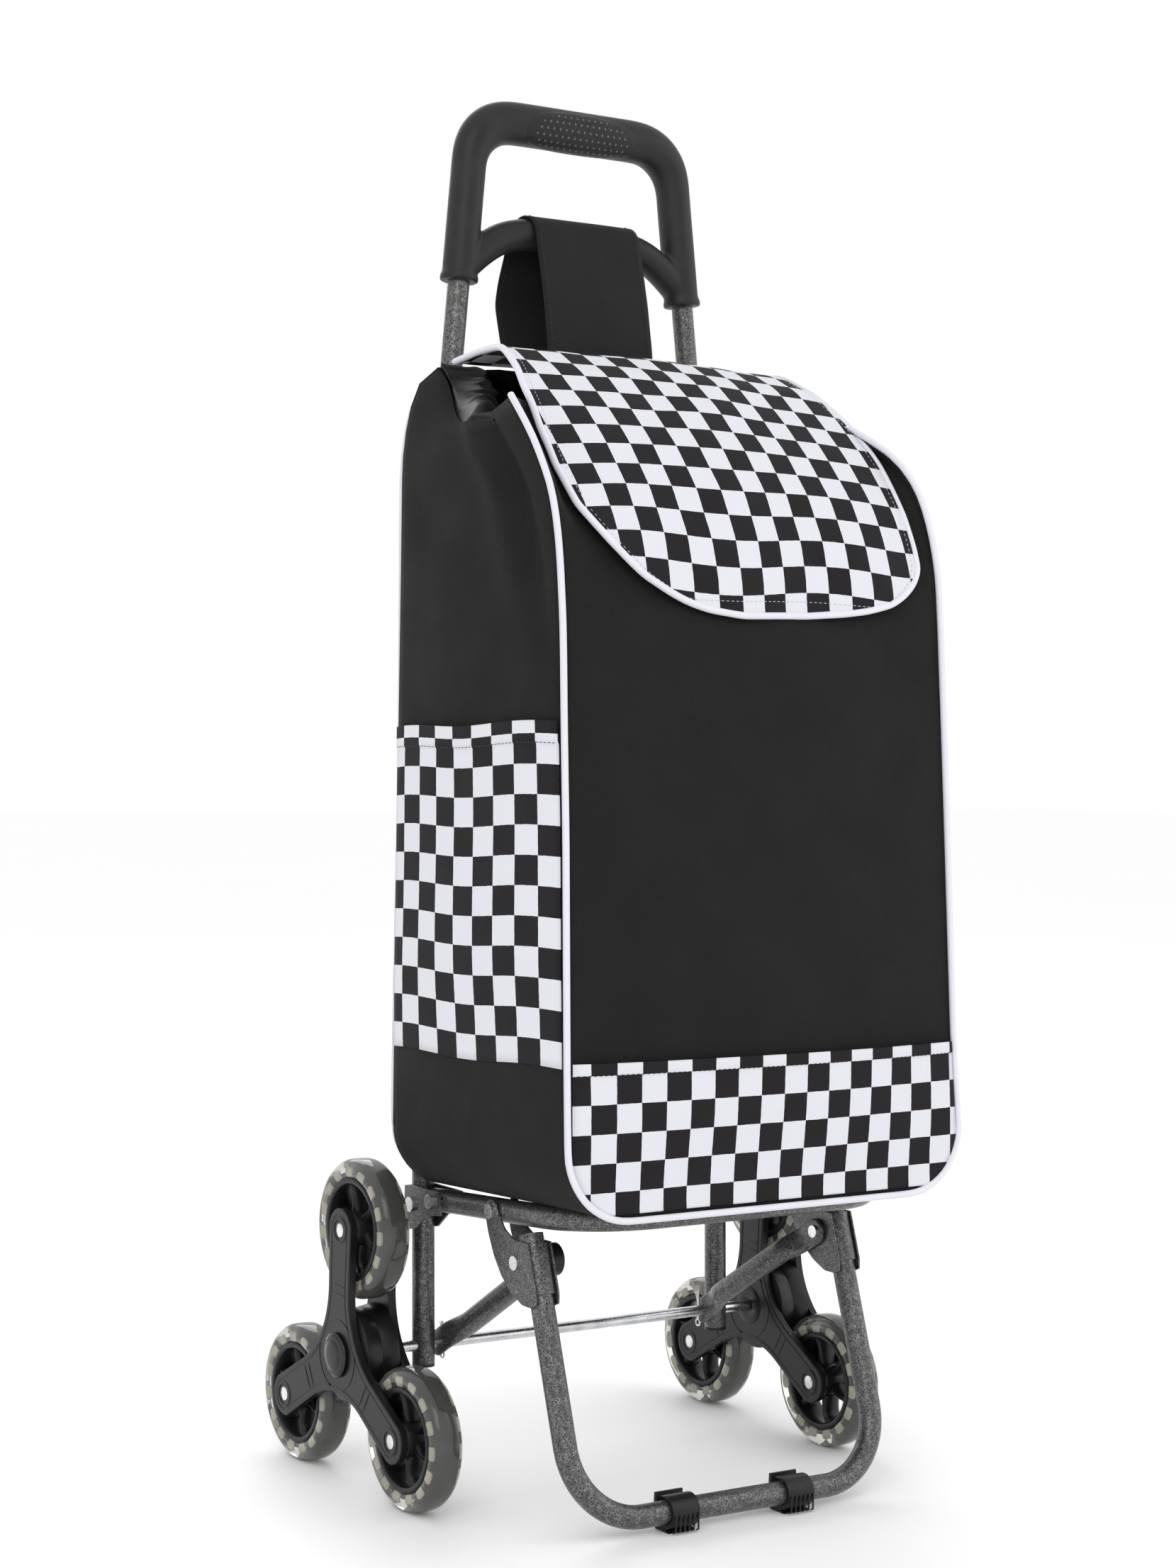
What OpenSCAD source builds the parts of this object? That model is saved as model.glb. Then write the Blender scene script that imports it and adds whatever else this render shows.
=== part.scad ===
// Shopping trolley with a folding steel frame, two three-wheel stair-climbing
// stars, a folding bag shelf with a coupled front leg, and a soft bag with a flap.
// Units mm. +Z up, the front (leg and flap) faces -Y, X = 0 is the symmetry plane.

/* [Node] */
// Sub-part to draw

/* [Frame tubes] */
// Outer diameter of every frame tube
tube_d = 16; // [14:1:18]
// Wall thickness of every frame tube
tube_wall = 1.2; // [1:0.2:2]
// Distance of the uprights, shelf sides and legs from the symmetry plane
tube_x = 127.5; // [127:0.5:129]
// Backward lean of the uprights in degrees
upright_lean = 2.77; // [2.5:0.1:3]
// Height of the handle leg ends above the axle, along the uprights
handle_start = 754; // [740:2:770]

/* [Star wheels] */
// Distance of a wheel centre from the star centre
star_r = 86.5; // [86:0.5:90]
// Radius of a wheel over the tyre
wheel_r = 48.5; // [46:0.5:49]
// Width of a tyre
wheel_w = 24; // [20:1:25]
// Distance of the middle of a star from the symmetry plane
star_x = 178; // [177:1:184]
// Thickness of a star over both halves
star_t = 38; // [36:1:40]
// Width of a star arm at its waist
arm_w = 28; // [26:1:30]

/* [Folding shelf and leg] */
// Rise of the shelf towards the front in degrees
shelf_tilt = 4.5; // [4:0.5:5]
// Length of the shelf from its pivot to the middle of the front bar
shelf_len = 180; // [176:1:184]
// Distance from the shelf pivot to the leg pivot
leg_pivot = 79; // [77:0.5:80]
// Forward slant of the leg in degrees
leg_slant = 19.5; // [19:0.5:20]
// Inner bend radius at the corners of the shelf and of the leg, on the tube axis
bend_r = 50; // [44:1:56]

/* [Bag] */
// Half width of the bag at its lower third
bag_hw = 163; // [161:1:165]
// Half width of the bag at its rim
bag_top_hw = 156; // [152:1:158]
// Height of the bag rim
bag_top = 743; // [741:1:745]
// Thickness of the bag walls
bag_wall = 2; // [2:0.5:4]
// Radius of the white piping cord
piping_r = 2; // [1.5:0.1:2]
// Lowest point of the flap
flap_bottom = 608; // [600:2:620]
// Thickness of the flap
flap_t = 4; // [3:0.5:5]

/* [Hidden] */
$fn = 72;
eps = 0.01;
tube_r = tube_d / 2;
bore_r = tube_r - tube_wall;
axle_z = wheel_r + star_r / 2;
axle_r = 4;
run_fit = 0.05;

// shelf, leg and strut pivots as [y, z]
pivot_s = [-21, 197];
pivot_l1 = pivot_s + leg_pivot * [-cos(shelf_tilt), sin(shelf_tilt)];
pivot_l2 = [-132, 174];
foot = [-199, 13];

// distances of the leg plates and the strut tongues from the symmetry plane
plate_t = 1.6;
plate_out = tube_x + tube_r + 0.15;
plate_in = tube_x - tube_r - 0.15 - plate_t;
tongue_t = 3;
tongue_x = plate_in - 0.4 - tongue_t;
strut_x = tongue_x + tongue_t - tube_r;
strut_v = pivot_l2 - [0, axle_z];
strut_len = norm(strut_v);
strut_low = 32;
strut_a = atan2(strut_v[1], -strut_v[0]);

// leg pivots in the leg's own frame: [behind the tube axis, along the tube]
function leg_local(p) = [
    (p - foot) * [cos(leg_slant), -sin(leg_slant)],
    (p - foot) * [sin(leg_slant), cos(leg_slant)]
];
l1_leg = leg_local(pivot_l1);
l2_leg = leg_local(pivot_l2);
leg_top = 191;

// lower end of an upright, measured from the axle
tube_low = -13;

// handle
handle_knee = 455;
upright_top = handle_start + 46 - handle_knee;
handle_leg_x = 97.5;
handle_a = atan((tube_x - handle_leg_x) / (handle_start - handle_knee));
handle_top = 885;
handle_under = 851;
handle_leg_w = 25;
handle_d = 25;
handle_lip = 27;
arch_w = 20;
arch_z = 791;
arch_half = 48;
arch_bend = 40;
arch_turn = 50;

// bag planes
front_y = -210;
front_z = 460;
front_lean = 4.86;
back_y = -10;
back_z = 226;
back_lean = 1.53;
bag_bottom = 205.8;
bag_corner = 46;
collar_h = 20;
flap_ridge = 787;
flap_hinge = [-4, 779];
flap_bend = 305;
flap_start = 19;
flap_end = 70;
flap_level = 16;
flap_corner = 55;
flap_hw = 132;
flap_top_hw = 124;
strap_x0 = -41;
strap_w = 90;
strap_t = 1.6;

bevel_z = 655;
rim_front = -110;
rim_slope = (rim_front - (front_y + (bevel_z - front_z) * tan(front_lean))) / (bevel_z - bag_top);

function front_at(z) = front_y + (z - front_z) * tan(front_lean);
function back_at(z) = back_y + (z - back_z) * tan(back_lean);
function bottom_at(y) = pivot_s[1] + tube_r + 0.5 + (pivot_s[0] - y) * tan(shelf_tilt);
front_low_z = bottom_at(front_at(bottom_at(front_at(216))));
function side_at(z) = bag_hw + (z - 252) * (bag_top_hw - bag_hw) / (bag_top - 252);
function arc_pts(c, r, a0, a1, n) =
    [for (i = [0:n]) c + r * [cos(a0 + (a1 - a0) * i / n), sin(a0 + (a1 - a0) * i / n)]];

paint_c = [0.22, 0.22, 0.23];
zinc_c = [0.75, 0.76, 0.78];
plastic_c = [0.08, 0.08, 0.09];
fabric_c = [0.06, 0.06, 0.07];
check_c = [0.55, 0.55, 0.57];
piping_c = [0.92, 0.92, 0.92];
tyre_c = [0.6, 0.6, 0.56];

// shift along Y that centres the object between its rear wheels and its front pocket
pocket_t = 5;
pocket_inset = 6;
pocket_low = 221;
pocket_top = 318;
front_reach = front_y + (pocket_low - front_z) * sin(front_lean)
    - (pocket_t + 0.1) * cos(front_lean);
y_shift = -(front_reach + star_r * cos(30) + wheel_r) / 2;

// ---------------------------------------------------------------- helpers

// Colours a sub-part and moves it so that the whole object is centred on the origin.
module finish(c) {
    translate([0, y_shift, 0]) color(c) children();
}

// Turns a shape drawn in XY and raised along Z into one drawn in YZ and raised along X.
module along_x() {
    rotate([90, 0, 90]) children();
}

// Cylinder along X from x0 to x1 at [y, z].
module x_rod(x0, x1, p, r) {
    translate([x0, p[0], p[1]]) rotate([0, 90, 0]) cylinder(h = x1 - x0, r = r);
}

module both() {
    children();
    mirror([1, 0, 0]) children();
}

// Frame of the uprights: origin on the axle, Z along the tubes.
module upright_frame() {
    translate([0, 0, axle_z]) rotate([-upright_lean, 0, 0]) children();
}

// Frame of the shelf: origin on its pivot, +Y towards the front bar.
module shelf_frame_at() {
    translate([0, pivot_s[0], pivot_s[1]]) rotate([-shelf_tilt, 0, 0]) mirror([0, 1, 0]) children();
}

// Frame of the leg: origin on the foot bar, Z along the leg, +Y behind the leg.
module leg_frame_at() {
    translate([0, foot[0], foot[1]]) rotate([-leg_slant, 0, 0]) children();
}

// Frame of the bag's front panel: Z up the panel, -Y out of it.
module front_frame() {
    translate([0, front_y, front_z]) rotate([-front_lean, 0, 0]) children();
}

// Frame of the bag's back panel: Z up the panel, +Y out of it.
module back_frame() {
    translate([0, back_y, back_z]) rotate([-back_lean, 0, 0]) children();
}

// Frame of one strut: origin on the axle, +Z towards the lower leg pivot.
module strut_frame() {
    translate([0, 0, axle_z]) rotate([90 - strut_a, 0, 0]) children();
}

// U of radius r in XY, open towards -Y, with straight legs from y0. The bends are
// drawn a trace thinner and the straights run a millimetre into them.
module u_bar(half, y0, y1, bend, r) {
    both() {
        translate([half, y0, 0]) rotate([-90, 0, 0]) cylinder(h = y1 - bend - y0 + 1, r = r);
        translate([half - bend, y1 - bend, 0])
            rotate_extrude(angle = 90) translate([bend, 0]) circle(r = r - 0.06);
    }
    translate([-(half - bend) - 1, y1, 0]) rotate([0, 90, 0])
        cylinder(h = 2 * (half - bend) + 2, r = r);
}

// ---------------------------------------------------------------- frame

// Lower straight of an upright, from below the axle to just past the knee.
module upright_low(r, z0, z1) {
    translate([tube_x, 0, z0]) cylinder(h = z1 - z0, r = r);
}

// Upper straight of an upright; h0 and h1 are lengths from the knee.
module upright_high(r, h0, h1) {
    translate([tube_x, 0, handle_knee]) rotate([0, -handle_a, 0])
        translate([0, 0, h0]) cylinder(h = h1 - h0, r = r);
}

module upright() {
    finish(paint_c) difference() {
        // the upper straight is a trace thinner and starts inside the lower one
        upright_frame() {
            upright_low(tube_r, tube_low, handle_knee);
            upright_high(tube_r - 0.12, -1, upright_top);
        }
        upright_frame() {
            upright_low(bore_r, tube_low - 1, handle_knee - 8);
            upright_high(bore_r, 8, upright_top + 1);
        }
        x_rod(tube_x - 20, tube_x + 20, [0, axle_z], axle_r + run_fit);
        x_rod(tube_x - 20, tube_x + 20, bracket_bolt, 2.55);
        upright_frame() translate([handle_screw_x() - 30, 0, handle_start + 12])
            rotate([0, 90, 0]) cylinder(h = 60, r = 1.6);
    }
}

function handle_screw_x() = handle_leg_x - 12 * tan(handle_a);

// upper bracket bolt on the upright axis
bracket_bolt = [(pivot_s[1] - 6 - axle_z) * tan(upright_lean), pivot_s[1] - 6];

module upright_left() {
    mirror([1, 0, 0]) upright();
}

module upright_right() {
    upright();
}

module upright_end_plugs() {
    finish(plastic_c) both() upright_frame() translate([tube_x, 0, tube_low - 2]) {
        cylinder(h = 1.9, r = tube_r);
        translate([0, 0, 1]) cylinder(h = 6, r = bore_r - 0.05);
    }
}

// outline of one bracket plate in [y, z]
module bracket_outline() {
    difference() {
        polygon([
            [bracket_bolt[0] + 7.6, pivot_s[1] + 6],
            [bracket_bolt[0], pivot_s[1] + 7.6],
            [pivot_s[0] - 11, pivot_s[1] + 7.6],
            [pivot_s[0] - 13, pivot_s[1] + 3],
            [pivot_s[0] - 13, pivot_s[1] - 8],
            [pivot_s[0] + 6, pivot_s[1] - 11],
            [bracket_bolt[0] - 6.5, pivot_s[1] - 22],
            [bracket_bolt[0] + 6.5, pivot_s[1] - 25]
        ]);
        translate(bracket_bolt) circle(r = 2.55);
        translate(pivot_s) circle(r = 3.05);
    }
}

module hinge_bracket() {
    finish(paint_c) {
        translate([plate_out, 0, 0]) along_x() linear_extrude(plate_t) bracket_outline();
        translate([plate_in, 0, 0]) along_x() linear_extrude(plate_t) bracket_outline();
        // web joining both plates behind the upright
        translate([plate_in + eps, bracket_bolt[0] + tube_r + 0.3, pivot_s[1] - 20])
            cube([plate_out - plate_in + plate_t - 2 * eps, 1.6, 26]);
        both_plates_lip();
    }
}

// short lips that carry the web from the plates' back edges
module both_plates_lip() {
    for (x = [plate_in, plate_out])
        translate([x, bracket_bolt[0] + 4, pivot_s[1] - 20]) cube([plate_t, tube_r - 2.2, 26]);
}

module hinge_bracket_left() {
    mirror([1, 0, 0]) hinge_bracket();
}

module hinge_bracket_right() {
    hinge_bracket();
}

module bracket_bolts() {
    finish(zinc_c) both() {
        x_rod(plate_in - 0.6, plate_out + plate_t + 0.6, bracket_bolt, 2.5);
        x_rod(plate_in - 0.6, plate_out + plate_t + 0.6, pivot_s, 3);
        for (p = [bracket_bolt, pivot_s]) {
            x_rod(plate_out + plate_t + 0.05, plate_out + plate_t + 2.2, p, 5.2);
            x_rod(plate_in - 1.1, plate_in - 0.05, p, 4);
        }
    }
}

module axle() {
    finish(zinc_c) difference() {
        x_rod(-star_x - star_t / 2 + 1, star_x + star_t / 2 - 1, [0, axle_z], axle_r);
        both() translate([cotter_x, 0, axle_z - 10]) cylinder(h = 20, r = 1.15);
    }
}

cotter_x = tongue_x - 2.6;

module cotter_pins() {
    finish(zinc_c) both() translate([cotter_x, 0, axle_z]) {
        translate([0, 0, -6]) cylinder(h = 12, r = 1);
        translate([0, 0, -8.6]) rotate([0, 90, 0])
            rotate_extrude() translate([2.4, 0]) circle(r = 0.7);
        for (a = [-4, -22])
            translate([0, 0, 5]) rotate([a, 0, 0]) cylinder(h = 10, r = 0.7);
    }
}

// ---------------------------------------------------------------- handle

// One side of the handle's outline in [x, z], from the leg's end to the top of the bar.
function handle_side(w, top, bend) = concat(
    [[handle_leg_x + w, handle_start]],
    arc_pts([handle_leg_at(top - bend) + w - bend / cos(handle_a), top - bend], bend, handle_a, 90, 10)
);
function handle_leg_at(z) = handle_leg_x - (z - handle_start) * tan(handle_a);
function flip(pts) = [for (i = [len(pts) - 1:-1:0]) [-pts[i][0], pts[i][1]]];

module handle_outline() {
    outer = handle_side(handle_leg_w / 2, handle_top, 44);
    inner = handle_side(-handle_leg_w / 2, handle_under, 14);
    difference() {
        polygon(concat(outer, flip(outer)));
        translate([0, -eps]) polygon(concat(inner, flip(inner)));
    }
}

// Lower cross bar, bowed down into both legs.
module arch_outline() {
    d = handle_leg_at(arch_z) - 4 - arch_half;
    difference() {
        polygon(concat(
            [[arch_half + d, arch_z - d * tan(arch_turn / 2) - arch_w]],
            [[arch_half + d, arch_z - d * tan(arch_turn / 2) + 4]],
            arc_pts([arch_half, arch_z - arch_bend], arch_bend + arch_w / 2, 90 - arch_turn, 90, 8),
            arc_pts([-arch_half, arch_z - arch_bend], arch_bend + arch_w / 2, 90, 90 + arch_turn, 8),
            [[-arch_half - d, arch_z - d * tan(arch_turn / 2) + 4]],
            [[-arch_half - d, arch_z - d * tan(arch_turn / 2) - arch_w]]
        ));
        polygon(concat(
            [[arch_half + d, arch_z - d]],
            arc_pts([arch_half, arch_z - arch_bend], arch_bend - arch_w / 2, 90 - arch_turn, 90, 8),
            arc_pts([-arch_half, arch_z - arch_bend], arch_bend - arch_w / 2, 90, 90 + arch_turn, 8),
            [[-arch_half - d, arch_z - d], [0, arch_z - 80]]
        ));
    }
}

module handle() {
    finish(plastic_c) upright_frame() difference() {
        union() {
            translate([0, handle_d / 2, 0]) rotate([90, 0, 0]) linear_extrude(handle_d)
                handle_outline();
            translate([0, arch_w / 2, 0]) rotate([90, 0, 0]) linear_extrude(arch_w)
                arch_outline();
            both() translate([handle_leg_x - handle_lip / 2, -handle_lip / 2, handle_start - 3])
                cube([handle_lip, handle_lip, 6]);
        }
        both() translate([handle_leg_x, 0, handle_start]) rotate([0, -handle_a, 0])
            translate([0, 0, -10]) cylinder(h = 57, r = tube_r + 0.05);
        both() handle_screw_at() cylinder(h = 30, r = 1.6);
        both() handle_screw_at() cylinder(h = 18.5, r = 4);
    }
}

module handle_screw_at() {
    translate([handle_screw_x() - 30, 0, handle_start + 12]) rotate([0, 90, 0]) children();
}

module handle_screws() {
    finish(zinc_c) upright_frame() both() handle_screw_at() {
        translate([0, 0, 16.6]) cylinder(h = 1.8, r = 3.4);
        translate([0, 0, 18]) cylinder(h = 10, r = 1.5);
    }
}

module grip_insert() {
    finish(plastic_c) upright_frame() translate([-52, 0, 0]) along_x() linear_extrude(104)
        difference() {
            translate([-handle_d / 2 - 2, handle_under - 3]) square([handle_d + 4, 20]);
            translate([-handle_d / 2 - 0.05, handle_under - 0.05]) square([handle_d + 0.1, 20]);
        }
}

// ---------------------------------------------------------------- shelf and leg

module shelf_frame() {
    finish(paint_c) shelf_frame_at() difference() {
        u_bar(tube_x, -10, shelf_len, bend_r, tube_r);
        both() translate([tube_x, -11, 0]) rotate([-90, 0, 0])
            cylinder(h = shelf_len - bend_r + 6, r = bore_r);
        both() {
            x_rod(tube_x - 20, tube_x + 20, [0, 0], 3 + run_fit);
            x_rod(tube_x - 20, tube_x + 20, [leg_pivot, 0], 3 + run_fit);
        }
    }
}

module leg_frame() {
    finish(paint_c) leg_frame_at() difference() {
        rotate([90, 0, 0]) mirror([0, 1, 0]) u_bar(tube_x, -leg_top, 0, bend_r, tube_r);
        both() translate([tube_x, 0, bend_r + 4]) cylinder(h = leg_top, r = bore_r);
        both() x_rod(tube_x - 20, tube_x + 20, l2_leg, 2.55);
    }
}

// half-moon cheek of the leg in [behind, along]
module cheek_outline() {
    difference() {
        union() {
            translate(l1_leg) circle(r = 8);
            intersection() {
                translate([-14, l1_leg[1] - 13]) circle(r = 47);
                polygon([
                    [-tube_r, 140], [-tube_r, leg_top - 4], [8, leg_top + 1],
                    [17, l1_leg[1]], [40, l1_leg[1]], [40, 140]
                ]);
            }
        }
        translate(l1_leg) circle(r = 3 + run_fit);
        translate(l2_leg) circle(r = 2.55);
    }
}

module leg_plate() {
    finish(paint_c) leg_frame_at() {
        for (x = [plate_in, plate_out])
            translate([x, 0, 0]) along_x() linear_extrude(plate_t) cheek_outline();
        // web round the front of the leg tube
        translate([plate_in + eps, -tube_r - 0.15 - plate_t, 146])
            cube([plate_out - plate_in + plate_t - 2 * eps, plate_t, leg_top - 4 - 146]);
        for (x = [plate_in, plate_out])
            translate([x, -tube_r - 1, 146]) cube([plate_t, 4, leg_top - 4 - 146]);
    }
}

module leg_plate_left() {
    mirror([1, 0, 0]) leg_plate();
}

module leg_plate_right() {
    leg_plate();
}

// Shelf pivot rivets and the rivets through the lower end of each cheek.
module leg_rivets() {
    finish(zinc_c) leg_frame_at() both() {
        x_rod(plate_in - 0.05, plate_out + plate_t + 0.05, l1_leg, 3);
        x_rod(plate_in + 0.05, plate_out + plate_t + 0.05, l2_leg, 2.5);
        x_rod(plate_out + plate_t + 0.05, plate_out + plate_t + 2.4, l1_leg, 5.2);
        x_rod(plate_out + plate_t + 0.05, plate_out + plate_t + 2.2, l2_leg, 4.8);
        x_rod(plate_in - 2, plate_in - 0.05, l1_leg, 4.6);
    }
}

module foot_clip() {
    w = 22;
    finish(plastic_c) translate([48 - w / 2, foot[0], 0]) difference() {
        union() {
            translate([0, -10, 0]) cube([w, 20, foot[1]]);
            x_rod(0, w, [0, foot[1]], tube_r + 2.5);
            translate([0, 5, foot[1]]) cube([w, 5.5, 11]);
        }
        x_rod(-1, w + 1, [0, foot[1]], tube_r + 0.05);
        translate([-1, -16, foot[1] + 3]) cube([w + 2, 20, 14]);
    }
}

module foot_clip_left() {
    mirror([1, 0, 0]) foot_clip();
}

module foot_clip_right() {
    foot_clip();
}

// Tube with a flat tongue at each end. The tongues lie against the leg cheeks.
module strut() {
    finish(paint_c) strut_frame() difference() {
        union() {
            translate([strut_x, 0, strut_low]) cylinder(h = strut_len - strut_low - 13, r = tube_r);
            translate([tongue_x, -7.5, 0]) cube([tongue_t, 15, strut_low + 8]);
            translate([tongue_x, -7.5, strut_len - 30]) cube([tongue_t, 15, 30]);
            x_rod(tongue_x, tongue_x + tongue_t, [0, 0], 9);
            x_rod(tongue_x, tongue_x + tongue_t, [0, strut_len], 9);
        }
        x_rod(tongue_x - 20, tongue_x + 20, [0, 0], axle_r + run_fit);
        x_rod(tongue_x - 20, tongue_x + 20, [0, strut_len], 2.55);
    }
}

module strut_left() {
    mirror([1, 0, 0]) strut();
}

module strut_right() {
    strut();
}

module strut_rivets() {
    finish(zinc_c) strut_frame() both() {
        x_rod(tongue_x - 0.1, tongue_x + tongue_t - 0.05, [0, strut_len], 2.5);
        x_rod(tongue_x - 1.8, tongue_x - 0.05, [0, strut_len], 4.4);
    }
}

// Round plastic cap over the inner end of the left lower pivot.
module pivot_cap() {
    finish(plastic_c) strut_frame() mirror([1, 0, 0]) difference() {
        x_rod(tongue_x - 9, tongue_x - 0.05, [0, strut_len], 11);
        x_rod(tongue_x - 2, tongue_x + 1, [0, strut_len], 4.6);
    }
}

// ---------------------------------------------------------------- stars

web_r = 65.7;
web_d = (web_r + arm_w / 2) / sin(60);
web_hub = norm([web_d / 2, arm_w / 2]);
cheek_t = 6;
hub_clear = star_r - wheel_r - 1.5;

// whole star outline in [y, z], one arm straight up
module star_outline() {
    for (a = [90, 210, 330]) rotate(a) {
        translate([0, -arm_w / 2]) square([star_r, arm_w]);
        translate([star_r, 0]) circle(r = arm_w / 2 + 1);
    }
    difference() {
        circle(r = web_hub);
        for (a = [30, 150, 270]) rotate(a) translate([web_d, 0]) circle(r = web_r);
    }
}

module star_half() {
    difference() {
        union() {
            translate([star_t / 2 - cheek_t, 0, 0]) along_x()
                linear_extrude(cheek_t) star_outline();
            along_x() linear_extrude(star_t / 2 - cheek_t + eps) intersection() {
                star_outline();
                circle(r = hub_clear);
            }
        }
        translate([-1, 0, 0]) rotate([0, 90, 0]) cylinder(h = star_t, r = 6.5);
        translate([7, 0, 0]) rotate([0, 90, 0]) cylinder(h = 7.1, r = 11.02);
        translate([7 + 7, 0, 0]) rotate([0, 90, 0]) cylinder(h = star_t, r = 11.02);
        for (a = [90, 210, 330]) {
            x_rod(0, star_t, star_r * [cos(a), sin(a)], 4.02);
            x_rod(star_t / 2 - 2.8, star_t, star_r * [cos(a), sin(a)], 7.2);
        }
        // engraved cross grooves on each arm
        for (a = [90, 210, 330]) for (d = [42, 48])
            translate([star_t / 2 - 0.8, d * cos(a), d * sin(a)]) rotate([a, 0, 0])
                translate([0, -0.8, -arm_w / 2 + 5]) cube([2, 1.6, arm_w - 10]);
    }
}

module star_at(side) {
    translate([side * star_x, 0, axle_z]) children();
}

module star_left_outer() {
    finish(plastic_c) star_at(-1) mirror([1, 0, 0]) star_half();
}

module star_left_inner() {
    finish(plastic_c) star_at(-1) star_half();
}

module star_right_outer() {
    finish(plastic_c) star_at(1) star_half();
}

module star_right_inner() {
    finish(plastic_c) star_at(1) mirror([1, 0, 0]) star_half();
}

module bearing_pair() {
    finish(zinc_c) for (s = [0, 1]) mirror([s, 0, 0]) translate([7.05, 0, 0])
        rotate([0, 90, 0]) difference() {
            cylinder(h = 7, r = 11);
            translate([0, 0, -1]) cylinder(h = 9, r = axle_r + run_fit);
        }
}

module star_left_bearings() {
    star_at(-1) bearing_pair();
}

module star_right_bearings() {
    star_at(1) bearing_pair();
}

module hub_cap() {
    finish(zinc_c) {
        difference() {
            x_rod(star_t / 2 + 0.05, star_t / 2 + 4.2, [0, 0], 15.5);
            x_rod(star_t / 2, star_t / 2 + 2.4, [0, 0], 13.8);
        }
        difference() {
            x_rod(star_t / 2 - 4.9, star_t / 2 + 2.5, [0, 0], 10.9);
            x_rod(star_t / 2 - 5, star_t / 2 + 2.2, [0, 0], 9.6);
        }
    }
}

module star_left_cap() {
    star_at(-1) mirror([1, 0, 0]) hub_cap();
}

module star_right_cap() {
    star_at(1) hub_cap();
}

module wheel_axle_set() {
    finish(zinc_c) for (a = [90, 210, 330]) {
        p = star_r * [cos(a), sin(a)];
        x_rod(-star_t / 2 + 1, star_t / 2 - 1, p, 4);
        for (s = [0, 1]) mirror([s, 0, 0]) x_rod(star_t / 2 - 2.75, star_t / 2 - 0.7, p, 6.6);
    }
}

module wheel_axles_left() {
    star_at(-1) wheel_axle_set();
}

module wheel_axles_right() {
    star_at(1) wheel_axle_set();
}

rim_r = 35;
tyre_bore = rim_r + 0.02;

module wheel_hub_shape() {
    rotate([0, 90, 0]) difference() {
        union() {
            translate([0, 0, -10]) difference() {
                cylinder(h = 20, r = rim_r);
                translate([0, 0, -1]) cylinder(h = 22, r = rim_r - 5);
            }
            translate([0, 0, -12.6]) cylinder(h = 25.2, r = 12);
            for (a = [0:60:300]) rotate([0, 0, a])
                translate([8, -3, -7]) cube([rim_r - 10, 6, 14]);
        }
        translate([0, 0, -14]) cylinder(h = 28, r = 4 + run_fit);
    }
}

module tyre_shape() {
    hw = wheel_w / 2;
    rotate([0, 90, 0]) rotate_extrude()
        polygon(concat(
            [[tyre_bore, -hw + 2], [tyre_bore + 1.5, -hw]],
            arc_pts([wheel_r - 7, -hw + 7], 7, -90, -15, 5),
            [[wheel_r, 0]],
            arc_pts([wheel_r - 7, hw - 7], 7, 15, 90, 5),
            [[tyre_bore + 1.5, hw], [tyre_bore, hw - 2]]
        ));
}

module wheel_at(side, a) {
    translate([side * star_x, star_r * cos(a), axle_z + star_r * sin(a)]) children();
}

module hub(side, a) {
    finish(plastic_c) wheel_at(side, a) wheel_hub_shape();
}

module tyre(side, a) {
    finish(tyre_c) wheel_at(side, a) tyre_shape();
}

module hub_left_top() {
    hub(-1, 90);
}

module hub_left_back() {
    hub(-1, 330);
}

module hub_left_front() {
    hub(-1, 210);
}

module hub_right_top() {
    hub(1, 90);
}

module hub_right_back() {
    hub(1, 330);
}

module hub_right_front() {
    hub(1, 210);
}

module tyre_left_top() {
    tyre(-1, 90);
}

module tyre_left_back() {
    tyre(-1, 330);
}

module tyre_left_front() {
    tyre(-1, 210);
}

module tyre_right_top() {
    tyre(1, 90);
}

module tyre_right_back() {
    tyre(1, 330);
}

module tyre_right_front() {
    tyre(1, 210);
}

// ---------------------------------------------------------------- bag

// bag outline from the front in [x, z], inset by w
module bag_front_outline(w, top) {
    c = bag_hw - bag_corner;
    for (s = [-1, 1]) translate([s * c, bag_bottom + bag_corner]) circle(r = bag_corner - w);
    translate([-c, bag_bottom + w]) square([2 * c, 80]);
    polygon([
        [-bag_hw + w, bag_bottom + bag_corner], [bag_hw - w, bag_bottom + bag_corner],
        [side_at(top) - w, top], [-side_at(top) + w, top]
    ]);
}

// bag outline from the side in [y, z], inset by w
module bag_side_outline(w, top) {
    polygon([
        [back_at(bag_bottom) - w, bottom_at(back_at(bag_bottom)) + w],
        [front_at(front_low_z) + w, front_low_z + w],
        [front_at(bevel_z) + w, bevel_z],
        [rim_front + w + (bag_top - top) * rim_slope, top],
        [back_at(top) - w, top]
    ]);
}

module bag_shape(w, top) {
    intersection() {
        translate([0, 50, 0]) rotate([90, 0, 0]) linear_extrude(400) bag_front_outline(w, top);
        translate([-200, 0, 0]) along_x() linear_extrude(400) bag_side_outline(w, top);
    }
}

module bag_body() {
    finish(fabric_c) difference() {
        bag_shape(0, bag_top);
        bag_shape(bag_wall, bag_top + 1);
    }
}

module base_board() {
    board_z = bottom_at(-120) + bag_wall + 0.4;
    finish(plastic_c) translate([0, -120, board_z]) rotate([-shelf_tilt, 0, 0])
        translate([-bag_hw + bag_corner, -98, 0]) cube([2 * (bag_hw - bag_corner), 196, 3]);
}

module ring_outline(hw, y0, y1, r) {
    for (s = [-1, 1]) for (y = [y0 + r, y1 - r]) translate([s * (hw - r), y]) circle(r = r);
    translate([-hw + r, y0]) square([2 * (hw - r), y1 - y0]);
    translate([-hw, y0 + r]) square([2 * hw, y1 - y0 - 2 * r]);
}

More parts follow.
